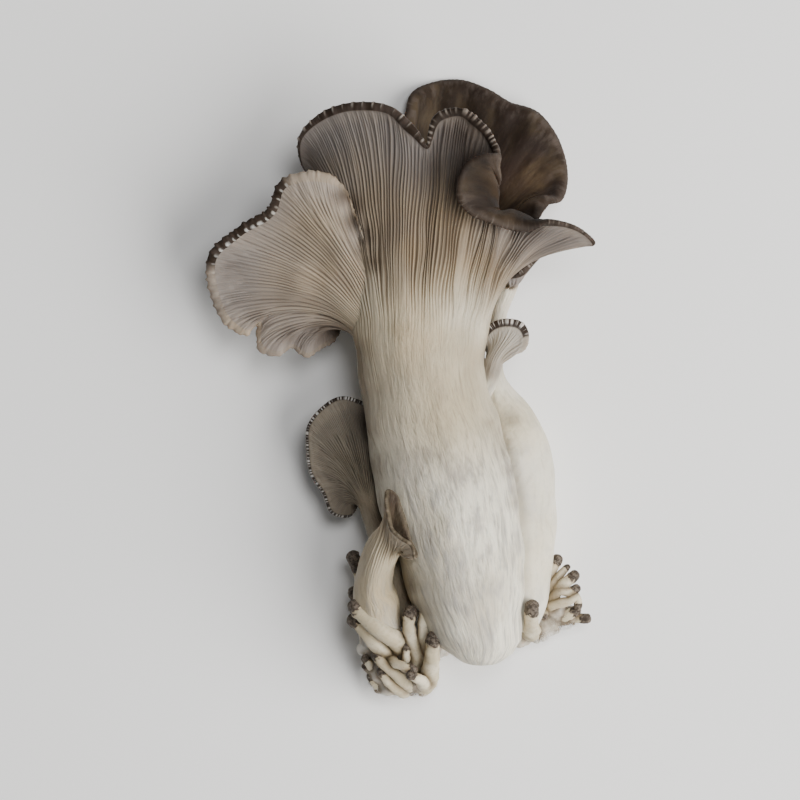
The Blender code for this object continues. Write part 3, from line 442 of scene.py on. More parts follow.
SMALL_DETAIL = SHARED_DETAIL | {
    "columns": 320, "gills": 20, "stem": 14, "cap": 30, "skin": 12,
    "seed": 67, "gill_depth": 0.2, "stem_depth": 0.08, "gills_from": (0.6, 0.9),
    "gills_over": 0.4, "finest": 0.6, "blade": 1.4, "sway": 0.12,
    "swell": 0.2, "swell_length": 8.0, "dents": 0.06, "wrinkle": 0.1,
    "scallop": 0.25, "knobs": 30, "plain_rim": ((0, 62), (200, 360)), "beads": ((0, 0.8),),
    "dark_places": ((25, 6, 6, 0.4),),
}

PIN_COLUMNS = 20
PIN_SEED = 200
PIN_HEAD = 1.03                    # radius of a drawn head, as a share of the table's head
PIN_NECK = 0.82                    # radius of the neck, as a share of the table's head
PIN_ROOT = 1.08                    # radius of the root, as a share of the table's root
HEAD_REACH = {0: 2.4, 3: 1.5}      # how far down some pins the dark head reaches, in radii
USUAL_HEAD_REACH = 0.85
CREVICE = 2.2                      # gap between two bodies up to which they shade each other

LUMP_SEED = 71
BRIDGE_BALLS = 25
VOXEL = 0.6                        # grain that the lumps grow together at

# Where threads grow: centre and half sizes of the lump they stand on, and the share of the number
# asked for that grows there.
THREAD_PLACES = (
    ((-0.5, -81.5, 7), (10, 5, 7), 0.3), ((-6.5, -78.5, 9), (4.5, 6, 8), 0.1),
    ((5, -81.5, 8), (5.5, 4.5, 7), 0.12), ((44, -63.5, 6), (7, 4, 5.5), 0.2),
    ((39.5, -67, 6), (4, 3.4, 5.5), 0.1), ((22.5, -72.8, 14), (9.2, 3.3, 8), 0.08),
)
THREAD_SEED = 91
THREAD_LENGTH = (0.6, 2.0)
THREAD_RINGS = ((0.0, 0.05), (0.5, 0.035))     # share of the length, radius there

# Colours of the flesh. Pairs of numbers say between which two places along a body one finish gives
# way to the next: 0 foot, 1 top of the stem, 2 ends of the gills, 3 end of the margin's roll,
# 4 floor of the funnel. The darkest gill colour is painted shade in the valleys between the gills
# and also darkens some gills and broad streaks; the groove colour is painted shade between the
# stem's ridges. One number says how strongly the painted shade darkens the valleys, "sweep" how
# dark the broad streaks over the gills, "spots_low" how strong the faintest spots on the beads, and
# "flesh" how much light passes into the flesh.
TONES = {
    "stem": (0.75, 0.71, 0.59), "mottle": (0.37, 0.345, 0.31), "fibre": (0.33, 0.30, 0.23),
    "cream": (0.58, 0.53, 0.42), "ridge": (0.425, 0.36, 0.26), "groove": (0.20, 0.145, 0.085),
    "gill": (0.245, 0.20, 0.155), "gill_warm": (0.265, 0.205, 0.135),
    "gill_dark_and_valley_shade": (0.07, 0.05, 0.033), "gill_dusk": (0.175, 0.165, 0.17),
    "margin": (0.062, 0.046, 0.037), "spot": (0.36, 0.32, 0.28), "frill": (0.13, 0.105, 0.09),
    "skin": (0.027, 0.018, 0.012), "skin_light": (0.07, 0.05, 0.03),
    "skin_dark": (0.018, 0.011, 0.009),
    # warmth tints the warm places, shadow is the painted shade that the dark places multiply by, and the
    # colour over 1 is the painted light that the light places multiply by.
    "warmth": (1.0, 0.92, 0.76), "shadow": (0.27, 0.235, 0.205), "painted_light": (2.0, 1.9, 1.75),
    "ridge_from": (0.5, 1.0), "gill_from": (0.98, 1.4), "dusk_from": (1.4, 1.9),
    "band_from": (1.985, 2.03), "spots_from": (2.05, 2.3), "spots_to": (2.8, 3.0),
    "lines": 0.7, "sweep": 0.35, "spots_low": 0.4, "flesh": 0.15,
}
# What each of the other bodies has different.
FAN_TONES = {
    "gill": (0.34, 0.29, 0.24), "gill_warm": (0.385, 0.31, 0.23),
    "gill_dark_and_valley_shade": (0.12, 0.095, 0.075), "gill_dusk": (0.28, 0.25, 0.235),
    "spot": (0.62, 0.6, 0.56), "ridge_from": (-0.5, 0.2), "band_from": (1.98, 1.986),
    "spots_from": (1.98, 1.986), "spots_to": (2.02, 2.12), "lines": 0.85,
}
KIDNEY_TONES = {
    "stem": (0.30, 0.26, 0.19), "mottle": (0.2, 0.17, 0.12), "cream": (0.26, 0.21, 0.15),
    "fibre": (0.18, 0.14, 0.1), "ridge": (0.24, 0.2, 0.14), "groove": (0.08, 0.065, 0.045),
    "gill": (0.175, 0.15, 0.11), "gill_warm": (0.195, 0.162, 0.118),
    "gill_dark_and_valley_shade": (0.03, 0.023, 0.016), "gill_dusk": (0.17, 0.147, 0.122),
    "margin": (0.03, 0.022, 0.018), "spot": (0.5, 0.48, 0.45), "skin": (0.03, 0.022, 0.016),
    "band_from": (2.05, 2.15), "spots_from": (2.05, 2.2),
    "lines": 1.0, "sweep": 0.1, "spots_low": 0.9,
}
CURLED_TONES = {
    "stem": (0.52, 0.45, 0.335), "cream": (0.47, 0.4, 0.28), "ridge": (0.38, 0.32, 0.23),
    "groove": (0.12, 0.09, 0.06), "gill": (0.35, 0.30, 0.23), "gill_warm": (0.33, 0.27, 0.19),
    "gill_dark_and_valley_shade": (0.15, 0.12, 0.085), "gill_dusk": (0.22, 0.185, 0.14),
    "margin": (0.15, 0.125, 0.09), "frill": (0.1, 0.08, 0.055), "spot": (0.2, 0.17, 0.13),
    "skin": (0.06, 0.047, 0.03), "ridge_from": (0.5, 1.1), "gill_from": (0.9, 1.75),
}
RIGHT_TONES = {
    "stem": (0.72, 0.685, 0.58), "mottle": (0.56, 0.53, 0.46), "ridge": (0.55, 0.5, 0.41),
    "cream": (0.66, 0.615, 0.50), "fibre": (0.5, 0.46, 0.37), "ridge_from": (0.8, 1.0),
}
SMALL_TONES = {
    "gill": (0.37, 0.33, 0.27), "gill_warm": (0.40, 0.34, 0.27),
    "gill_dark_and_valley_shade": (0.22, 0.19, 0.155), "gill_dusk": (0.36, 0.33, 0.29),
    "margin": (0.04, 0.03, 0.025), "spot": (0.62, 0.59, 0.55), "gill_from": (0.4, 0.9),
    "band_from": (1.93, 1.97), "spots_from": (1.95, 2.1), "spots_low": 0.8,
}
BASE_TONES = {
    "cream": (0.50, 0.45, 0.37), "brown": (0.27, 0.23, 0.175), "white": (0.70, 0.67, 0.61),
}
PIN_TONES = {
    "brown": (0.48, 0.41, 0.28), "cream": (0.63, 0.565, 0.43), "speck": (0.32, 0.265, 0.185),
    "charcoal": (0.045, 0.034, 0.025), "scale": (0.15, 0.122, 0.095), "neck": (0.3, 0.23, 0.15),
}
# Colour that the painted shade in the crevices, where bodies touch, multiplies by.
PAINTED_CREVICE_SHADE = (0.4, 0.35, 0.29)
THREAD_TONES = ((0.92, 0.91, 0.89), (0.8, 0.79, 0.76))
FLOOR_TONES = ((0.88, 0.88, 0.875), (0.9, 0.9, 0.895))

# The stage, in metres but for the camera's place over the cluster and its lens, in millimetres.
CAMERA_X = -0.51
CAMERA_Y = -2.72
LENS = 200
SENSOR = 36
FLOOR_SIZE = 8.0
LIGHT_AIM = (0, 0, 0.02)
MAIN_LIGHT = (0.85, -0.3, 0.75)
MAIN_LIGHT_SIZE = 1.3
FILL_LIGHT = (0.2, 0.25, 1.15)
FILL_LIGHT_SIZE = 0.4


def unit(vectors):
    """The same directions with a length of 1."""
    return vectors / np.maximum(np.linalg.norm(vectors, axis=-1, keepdims=True), 1e-9)


def ease(x):
    """A smooth step: 0 up to 0, 1 from 1 on."""
    x = np.clip(x, 0, 1)
    return x * x * (3 - 2 * x)


def hermite(t, a, b, slope_a, slope_b):
    """The cubic from a to b that leaves and arrives with the given slopes."""
    return ((2 * t**3 - 3 * t**2 + 1) * a + (t**3 - 2 * t**2 + t) * slope_a
            + (3 * t**2 - 2 * t**3) * b + (t**3 - t**2) * slope_b)


def smooth_curve(knots, values, at):
    """A smooth curve through values at growing knots, read at the given places."""
    span = np.diff(knots)[:, None]
    step = np.diff(values, axis=0) / span
    slope = np.empty_like(values)
    slope[1:-1] = (step[:-1] * span[1:] + step[1:] * span[:-1]) / (span[1:] + span[:-1])
    slope[0] = step[0]
    slope[-1] = step[-1]
    i = np.clip(np.searchsorted(knots, at, side="right") - 1, 0, len(knots) - 2)
    t = ((at - knots[i]) / (knots[i + 1] - knots[i]))[:, None]
    return hermite(t, values[i], values[i + 1], slope[i] * span[i], slope[i + 1] * span[i])


def growing_curve(knots, values, at):
    """The same for one value that only grows, with no overshoot between the knots."""
    span = np.diff(knots)
    step = np.diff(values) / span
    slope = np.zeros(len(values))
    slope[1:-1] = 2 / (1 / step[:-1] + 1 / step[1:])
    i = np.clip(np.searchsorted(knots, at, side="right") - 1, 0, len(knots) - 2)
    t = (at - knots[i]) / span[i]
    return hermite(t, values[i], values[i + 1], slope[i] * span[i], slope[i + 1] * span[i])


def rim_lines(rim, columns):
    """Where each column's gill ends, evenly spaced along the rim, with its handle, its ring angle
    and its share of the roll."""
    rows = np.array(rim, float)
    rows[:, 0] = np.radians(rows[:, 0])
    turn = np.array([2 * math.pi] + [0.0] * 7)
    wrapped = np.concatenate([rows[-2:] - turn, rows, rows[:3] + turn])
    step = np.linalg.norm(np.diff(wrapped[:, 1:4], axis=0), axis=1)
    knots = np.concatenate([[0], np.cumsum(step)])
    first, last = knots[2], knots[len(rows) + 2]
    fine = np.linspace(first, last, 4001)
    course = smooth_curve(knots, wrapped[:, 1:4], fine)
    arc = np.concatenate([[0], np.cumsum(np.linalg.norm(np.diff(course, axis=0), axis=1))])
    at = np.interp(np.arange(columns) / columns * arc[-1], arc, fine)
    point = smooth_curve(knots, wrapped[:, 1:4], at)
    rest = smooth_curve(knots, wrapped[:, 4:8], at)
    angle = growing_curve(knots, wrapped[:, 0], at)
    return point, rest[:, :3], angle, np.clip(rest[:, 3:], 0.1, 1.2)


def stem_rings(stations, count, angle):
    """Rings from the pole to the top of the stem; the squares of the radii are smoothed, so
    that the pole is round."""
    rows = np.array(stations, float)
    radius = rows[:, 3].copy()
    rows[:, 3:] **= 2
    step = np.linalg.norm(np.diff(rows[:, :3], axis=0), axis=1) + 0.3 * np.abs(np.diff(radius))
    knots = np.concatenate([[0], np.cumsum(step)])
    at = np.linspace(0, knots[-1], count + 1)
    ring = smooth_curve(knots, rows, at)
    centre = ring[:, None, :3]
    half_width = np.sqrt(np.maximum(ring[:, 3], 0))[:, None]
    half_depth = np.sqrt(np.maximum(ring[:, 4], 0))[:, None]
    along = unit(np.gradient(ring[:, :3], at, axis=0))
    side = unit(np.cross(along, (0.0, 0.0, 1.0)))
    front = np.cross(side, along)
    return (centre + (half_width * np.cos(angle))[..., None] * side[:, None, :]
            + (half_depth * np.sin(angle))[..., None] * front[:, None, :])


def bezier(start, handle_a, handle_b, end, t):
    """Points of one curve for each column, at the places t between 0 and 1."""
    t = np.asarray(t)[:, None, None]
    return ((1 - t)**3 * start + 3 * t * (1 - t)**2 * handle_a
            + 3 * t**2 * (1 - t) * handle_b + t**3 * end)


def outward(rows):
    """Unit normals of a grid whose columns run round and whose rows climb."""
    across = np.roll(rows, -1, axis=1) - np.roll(rows, 1, axis=1)
    return unit(np.cross(np.gradient(rows, axis=0), across))


def ring_average(rows, times):
    """Rows of values or points evened out round the ring."""
    for _ in range(times):
        rows = (np.roll(rows, 1, axis=1) + 2 * rows + np.roll(rows, -1, axis=1)) / 4
    return rows


def room_behind(outer, points, normals):
    """How far it is from each point, straight in, to the far side of the outer rows."""
    rows, columns = outer.shape[:2]
    faces = []
    for i in range(rows - 1):
        for j in range(columns):
            k = (j + 1) % columns
            faces.append([i * columns + j, i * columns + k, (i + 1) * columns + k,
                          (i + 1) * columns + j])
    tree = BVHTree.FromPolygons(outer.reshape(-1, 3).tolist(), faces)
    room = np.full(points.shape[:2], FAR_ENOUGH)
    for place in np.ndindex(room.shape):
        inward = -Vector(normals[place])
        hit = tree.ray_cast(Vector(points[place]) + inward * RAY_START, inward)[3]
        if hit is not None:
            room[place] = min(hit + RAY_START, FAR_ENOUGH)
    return room


def least_room(room):
    """The least room among each point's neighbours on its ring, evened out."""
    room = np.min([np.roll(room, k, axis=1) for k in (-2, -1, 0, 1, 2)], axis=0)
    return ring_average(room, 2)


def fruit_body(shape, grid):
    """Smooth rows of a fruit body, from its pole over the gills and the margin to the floor."""
    columns = 2 * grid["columns"]
    end, bend, angle, roll_share = rim_lines(shape["rim"], columns)
    stem = stem_rings(shape["stem"], grid["stem"], angle)
    top = stem[-1]
    reach = np.linalg.norm(end - top, axis=1, keepdims=True)
    handle_a = top + unit(top - stem[-2]) * reach * shape["rise"]
    handle_b = end + bend
    places = 1 - (1 - np.linspace(0, 1, grid["cap"] + 1)[1:]) ** CAP_SPACING
    outer = np.concatenate([stem[1:], bezier(top, handle_a, handle_b, end, places)])
    normal = outward(outer)

    edge = unit(np.roll(end, -1, axis=0) - np.roll(end, 1, axis=0))
    away = unit(np.cross(edge, normal[-1]))
    wall = shape["wall"]
    roll = []
    thin = 0.5 + 0.5 * roll_share
    for k in range(1, grid["roll"] + 1):
        turn = math.pi * k / (grid["roll"] + 1)
        roll.append(end + away * shape["roll"] * roll_share * math.sin(turn)
                    - normal[-1] * (thin * wall / 2 * (1 - math.cos(turn)) - 0.3 * math.sin(turn)))

    back = np.linspace(0, 1, grid["skin"] + 1)[:-1]
    under = bezier(top, handle_a, handle_b, end, 1 - shape["reach"] * back)
    under_normal = -outward(under)
    under_normal[0] = normal[-1]
    under_normal[2:] = ring_average(under_normal[2:], 2)
    middle = under.mean(axis=1, keepdims=True)
    inward = unit(unit(middle - under) * ease(back)[:, None, None] * TURN_IN - unit(under_normal))
    depth = (wall + shape["wall_growth"] * ease(back))[:, None] * thin.T
    depth = np.minimum(depth, WALL_SHARE * least_room(room_behind(outer, under, -inward)))
    depth = np.minimum(depth, MIDDLE_SHARE * np.linalg.norm(middle - under, axis=-1))
    pull = ease((back - PULL_FROM) / (1 - PULL_FROM))[:, None, None]
    floor = np.array(shape["floor"], float)
    skin = under + inward * depth[..., None]
    for k in range(2, len(skin)):
        skin[k:] = ring_average(skin[k:], shape["even"])
    skin = skin * (1 - pull) + (0.5 * floor + 0.5 * middle) * pull
    return {"pole": stem[0].mean(axis=0), "outer": outer, "normal": normal, "roll": roll,
            "skin": list(skin), "floor": floor, "stem_rows": grid["stem"]}


def finer_columns(rows, times):
    """The same rings with more columns, on smooth curves through the old ones."""
    before, here, after, beyond = (np.roll(rows, k, axis=1)[:, :, None] for k in (1, 0, -1, -2))
    t = (np.arange(times) / times).reshape([1, 1, times] + [1] * (rows.ndim - 2))
    curve = here + 0.5 * t * (after - before + t * (2 * before - 5 * here + 4 * after - beyond
                              + t * (3 * (here - after) + beyond - before)))
    return curve.reshape((rows.shape[0], rows.shape[1] * times) + rows.shape[2:])


def finer_rows(rows, at):
    """Rows read between the old ones, on smooth curves up every column."""
    flat = rows.reshape(len(rows), -1)
    return smooth_curve(np.arange(len(rows), dtype=float), flat, at).reshape(
        (len(at),) + rows.shape[1:])


def waves(points, seed, count=14):
    """Soft random swell over points in wave lengths: most of it lies between -1 and 1."""
    rng = np.random.default_rng(seed)
    ways = unit(rng.normal(size=(count, points.shape[-1]))) * rng.uniform(0.6, 1.5, (count, 1))
    starts = rng.uniform(0, 2 * math.pi, count)
    total = np.zeros(points.shape[:-1])
    for way, start in zip(ways, starts):
        total += np.cos(points @ way * 2 * math.pi + start)
    return total * math.sqrt(2 / count) / 2


def blade(u, power):
    """Depth of the valley at place u between gills: 0 on a gill, 1 half way to the next.
    A power under 1 gives thin crests, one over 1 thin valleys."""
    return (2 * np.abs(u - np.round(u))) ** power


def round_rim(angle, table):
    """A value at every ring angle, read between the angles of a table."""
    at, values = np.array(table, float).T
    return np.interp(np.degrees(angle), at, values, period=360)


def painted(rows, places):
    """How strongly each point lies in soft round places: x, y, reach, strength."""
    marks = [np.zeros(len(row)) for row in rows]
    for x, y, reach, strength in places:
        for mark, row in zip(marks, rows):
            far = np.hypot(row[:, 0] - x, row[:, 1] - y) / reach
            mark += strength * (1 - ease(far))
    return [np.clip(mark, 0, 1) for mark in marks]


def by_gill(values, u):
    """One value for each gill, read at the columns nearest to it."""
    return values[np.round(u).astype(int) % len(values)]


def ring_flow(radius, turn, height):
    """Seamless place on the skin, in millimetres: round the stem, and up it."""
    return np.stack([radius * np.cos(turn), radius * np.sin(turn), np.full(len(turn), height)],
                    axis=-1)


def gill_pattern(spacing, u, detail, rng):
    """The valleys between the gills, which double twice as they spread, and how close they run."""
    gills, finest, power = detail["gills"], detail["finest"], detail["blade"]
    doubles = by_gill(rng.uniform(1.5, 2.2, 2 * gills) * finest, 2 * u)
    first = ease((spacing - doubles) / (0.4 * finest))
    doubles = by_gill(rng.uniform(2.8, 3.9, 4 * gills) * finest, 4 * u)
    second = ease((spacing - doubles) / (0.7 * finest))
    valley = blade(u, power) * (1 - first) + blade(2 * u, power) * first
    valley = valley * (1 - second) + blade(4 * u, power) * second
    return valley, spacing / (1 + first) / (1 + second)


def gill_depth(along, angle, margin_gap, u, detail, rng):
    """How deep the valleys are: shallow on the stem, full on the cap, none at the margin."""
    gills = detail["gills"]
    start = by_gill(rng.uniform(*detail["gills_from"], gills), u)
    start = ring_average(start[None], 2)[0] + round_rim(angle, detail["gills_late"])
    rise = ease((along - start) / detail["gills_over"])
    on_cap = np.clip(along - 1, 0, 1)
    depth = detail["stem_depth"] * rise * (1 - ease(on_cap * 4))
    depth = depth + detail["gill_depth"] * ease(on_cap * 4) * rise
    depth = depth * by_gill(rng.uniform(0.8, 1.1, 4 * gills), 4 * u)
    stops = by_gill(rng.uniform(0.1, detail["gills_stop"], 4 * gills), 4 * u)
    return depth * (0.25 + 0.75 * ease((margin_gap - stops) / 2.5)) * (on_cap < 1)


def depth_limit(coarse, close, steps, detail):
    """The deepest valleys that close gills and thin walls allow."""
    cap_side = np.array(coarse["roll"][-1:] + coarse["skin"])
    room = room_behind(cap_side, coarse["outer"], coarse["normal"])[coarse["stem_rows"] - 1:]
    room = finer_columns(room, detail["columns"] // room.shape[1])
    room = finer_rows(room, steps * (len(room) - 1))
    limit = 0.55 * close
    on_cap = slice(detail["stem"], None)
    limit[on_cap] = np.minimum(0.95 * close[on_cap], np.maximum(room - WALL_LEFT, 0.15))
    return limit


def folds(outer, flow, along, detail):
    """How far the skin swells and dents, with less of it on the cap and none at the foot."""
    swell = waves(outer / detail["swell_length"], detail["seed"] + 2) * detail["swell"]
    slant = np.stack([flow[..., 0] + 0.25 * flow[..., 2], flow[..., 1], flow[..., 2]], axis=-1)
    dents = waves(slant / np.array([3.2, 3.2, 12.0]), detail["seed"] + 3) * detail["dents"]
    dents = dents * (0.3 + 0.7 * ease(along / 0.5))
    on_stem = 1 - ease((along - 0.55) / 0.45)
    return (swell * (1 - ease(along - 1)) + dents * on_stem) * ease(along / 0.12)


def margin_beads(angle, turn, detail, rng):
    """How strongly the margin swells to a bead at each column."""
    knobs = detail["knobs"]
    sways = waves(np.stack([np.cos(turn), np.sin(turn)], axis=-1) * 9, detail["seed"] + 5)
    knob = turn / (2 * math.pi) * knobs + 0.3 * sways
    size = by_gill(rng.uniform(0.0, 1.0, knobs), knob)
    bead = np.clip(1 - np.abs(2 * (knob - np.round(knob))) / (0.6 + 0.5 * size), 0, 1)
    bead = ease(bead) * (0.35 + 0.65 * size)
    odd = by_gill(np.arange(knobs) % 2, knob)
    bead = bead * (1 - round_rim(angle, detail["few_beads"]) * odd)
    return bead * round_rim(angle, detail["beads"])


def plain_stretches(angle, detail):
    """1 where the margin has no dark band, 0 elsewhere."""
    plain = np.zeros(len(angle))
    turned = np.degrees(angle)
    for low, high in detail["plain_rim"]:
        inside = ease((turned - low) / 5 + 0.5) * ease((high - turned) / 5 + 0.5)
        plain = np.maximum(plain, inside)
    return plain


def rolled_margin(end, front, back, size, scallop, count):
    """Rows over the margin, from the gills' ends to the cap side's first row."""
    edge = unit(np.roll(end, -1, axis=0) - np.roll(end, 1, axis=0))
    away = unit(np.cross(edge, front))
    roll = []
    for k in range(1, count + 1):
        bow = math.pi * k / (count + 1)
        row = end + away * (size * math.sin(bow))
        row = row + (back - end) * (1 - math.cos(bow)) / 2 + front * 0.3 * math.sin(bow)
        roll.append(row + (away * 0.8 + front * 0.4) * (scallop * math.sin(bow))[:, None])
    return roll


def wrinkled(skin, radius, turn, detail):
    """The cap side with long wrinkles that run down it."""
    rows = np.arange(len(skin))
    flow = np.array([ring_flow(radius, turn, SKIN_STEP * k) for k in rows])
    wrinkle = waves(flow / np.array([4.5, 4.5, 22.0]), detail["seed"] + 4)
    wrinkle = wrinkle * detail["wrinkle"] * (0.4 + 0.6 * ease(1 - rows / 12))[:, None]
    return skin + outward(skin) * (wrinkle * ease((rows + 1) / 3)[:, None])[..., None]


def dressed_body(shape, grid, detail):
    """Rows of a fruit body with its full gills, their columns, the marks that its finish reads,
    and the coarse body under it."""
    coarse = fruit_body(shape, grid)
    columns, gills, rng = detail["columns"], detail["gills"], np.random.default_rng(detail["seed"])
    end, bend, angle, share = rim_lines(shape["rim"], columns)
    stem = stem_rings(shape["stem"], detail["stem"], angle)
    below = stem_rings(shape["stem"], grid["stem"], angle)[-2]
    top = stem[-1]
    reach = np.linalg.norm(end - top, axis=1, keepdims=True)
    handle_a = top + unit(top - below) * reach * shape["rise"]
    steps = np.linspace(0, 1, detail["cap"] + 1)[1:]
    places = 1 - (1 - steps) ** CAP_SPACING
    outer = np.concatenate([stem[1:], bezier(top, handle_a, end + bend, end, places)])
    normal = outward(outer)
    up_stem = np.arange(1, detail["stem"] + 1) / detail["stem"]
    along = np.concatenate([up_stem, 1 + places])[:, None] * np.ones(columns)

    climb = np.linalg.norm(np.diff(outer, axis=0), axis=-1).mean(axis=1)
    climb = np.concatenate([[0], np.cumsum(climb)])
    radius = np.linalg.norm(np.diff(top, axis=0), axis=-1).sum() / (2 * math.pi)
    turn = np.arange(columns) / columns * 2 * math.pi
    flow = np.array([ring_flow(radius, turn, height) for height in climb])

    ways = unit(np.gradient(outer, axis=0))
    across = np.roll(outer, -1, axis=1) - outer
    across -= (across * ways).sum(axis=-1, keepdims=True) * ways
    spacing = ring_average(np.linalg.norm(across, axis=-1), 6) * columns / gills
    u = np.arange(columns) * gills / columns
    valley, close = gill_pattern(spacing, u, detail, rng)
    depth = gill_depth(along, angle, np.linalg.norm(outer - end, axis=-1), u, detail, rng)
    depth = np.minimum(depth, depth_limit(coarse, close, steps, detail))
    sway = waves(flow / np.array([5.0, 5.0, 13.0]), detail["seed"] + 1)
    crest = ring_average(by_gill(rng.uniform(0, 1, 4 * gills), 4 * u)[None], 1)
    crest = 0.24 * crest * ease(np.clip(along - 1, 0, 1) * 3)
    carved = outer + unit(across) * (detail["sway"] * sway * np.minimum(close, 2))[..., None]
    carved = carved - normal * (valley * depth + crest * (depth > 0.1))[..., None]
    carved = carved + normal * folds(outer, flow, along, detail)[..., None]

    skin = finer_columns(np.array(coarse["skin"]), columns // (2 * grid["columns"]))
    bead = margin_beads(angle, turn, detail, rng)
    roll = rolled_margin(end, normal[-1], skin[0], shape["roll"] * share, bead * detail["scallop"],
                         detail["roll"])
    skin = finer_rows(skin, np.linspace(0, len(skin) - 1, detail["skin"]))
    skin = wrinkled(skin, radius, turn, detail)

    rows = list(carved) + roll + list(skin)
    past = len(roll) + len(skin)
    on_roll = 2 + (np.arange(len(roll)) + 1) / (len(roll) + 1)
    on_skin = 3 + np.arange(len(skin)) / len(skin)
    run_on = list(range(1, len(roll) + 1))
    run_on += [len(roll) + SKIN_STEP * (k + 1) for k in range(len(skin))]
    marks = {
        "along": list(along) + [np.full(columns, at) for at in (*on_roll, *on_skin)],
        # how deep each valley is, which the finish darkens as painted shade
        "valley": list(valley * np.minimum(depth / 0.45, 1)) + [np.zeros(columns)] * past,
        "gill": [by_gill(rng.uniform(0, 1, 4 * gills), 4 * u)] * len(rows),
        "bead": [bead] * len(rows),
        "plain": [plain_stretches(angle, detail)] * len(rows),
        "flow": list(flow) + [ring_flow(radius, turn, climb[-1] + far) for far in run_on],
    }
    for mark in ("dark", "warm", "light", "grey"):
        marks[mark] = painted(rows, detail[mark + "_places"])
    return rows, ring_counts(detail, len(rows)), marks, coarse


def ring_counts(detail, count):
    """Columns of each ring: fewer low on the stem, all over the cap and round the margin, and
    fewer again on the cap side."""
    columns = detail["columns"]
    counts = [columns // 4] * detail["coarse_stem"]
    counts += [columns // 2] * (detail["stem"] - 1 - len(counts))
    counts += [columns] * (detail["stem"] + detail["cap"] + detail["roll"] + 2 - len(counts))
    counts += [columns // 2] * 3
    return counts + [columns // 4] * (count - len(counts))


def skin_object(name, rows, counts, bottom, top, marks):
    """One closed mesh from rings of points, with a point at each end. Neighbouring rings have as
    many columns, or one has twice as many as the other. Marks become attributes."""
    kept = [row[:: len(row) // count] for row, count in zip(rows, counts)]
    points = np.concatenate(kept + [[bottom], [top]])
    points = (points - (CENTRE_X, CENTRE_Y, 0.0)) * MM
    points[:, 2] = np.maximum(points[:, 2], 0.0)
    start = np.concatenate([[0], np.cumsum(counts)])
    faces = []
    for i, (few, many) in enumerate(zip(counts, counts[1:])):
        a, b = start[i], start[i + 1]
        k = np.arange(min(few, many))
        n = (k + 1) % min(few, many)
        if few == many:
            faces += np.stack([a + k, b + k, b + n, a + n], axis=1).tolist()
        elif many == 2 * few:
            faces += np.stack([a + k, b + 2 * k, b + 2 * k + 1], axis=1).tolist()
            faces += np.stack([a + k, b + 2 * k + 1, a + n], axis=1).tolist()
            faces += np.stack([a + n, b + 2 * k + 1, b + (2 * k + 2) % many], axis=1).tolist()
        else:
            faces += np.stack([b + k, a + 2 * k + 1, a + 2 * k], axis=1).tolist()
            faces += np.stack([b + k, b + n, a + 2 * k + 1], axis=1).tolist()
            faces += np.stack([b + n, a + (2 * k + 2) % few, a + 2 * k + 1], axis=1).tolist()
    for ring, tip, order in ((0, start[-1], 1), (len(counts) - 1, start[-1] + 1, -1)):
        k = np.arange(counts[ring])
        n = (k + 1) % counts[ring]
        fan = np.stack([np.full(len(k), tip), start[ring] + k, start[ring] + n], axis=1)
        faces += fan[:, ::order].tolist()
    mesh = bpy.data.meshes.new(name)
    mesh.from_pydata(points.tolist(), [], faces)
    for key, values in marks.items():
        flat = [row[:: len(row) // count] for row, count in zip(values, counts)]
        flat += [flat[0].mean(axis=0, keepdims=True), flat[-1].mean(axis=0, keepdims=True)]
        flat = np.concatenate(flat).astype(np.float32)
        if flat.ndim == 2:
            mesh.attributes.new(key, "FLOAT_VECTOR", "POINT").data.foreach_set("vector", flat.ravel())
        else:
            mesh.attributes.new(key, "FLOAT", "POINT").data.foreach_set("value", flat)
    mesh.shade_smooth()
    obj = bpy.data.objects.new(name, mesh)
    bpy.context.scene.collection.objects.link(obj)
    return obj


def grow(name, shape, grid, detail):
    """A finished fruit body as one object."""
    rows, counts, marks, coarse = dressed_body(shape, grid, detail)
    return skin_object(name, rows, counts, coarse["pole"], coarse["floor"], marks)


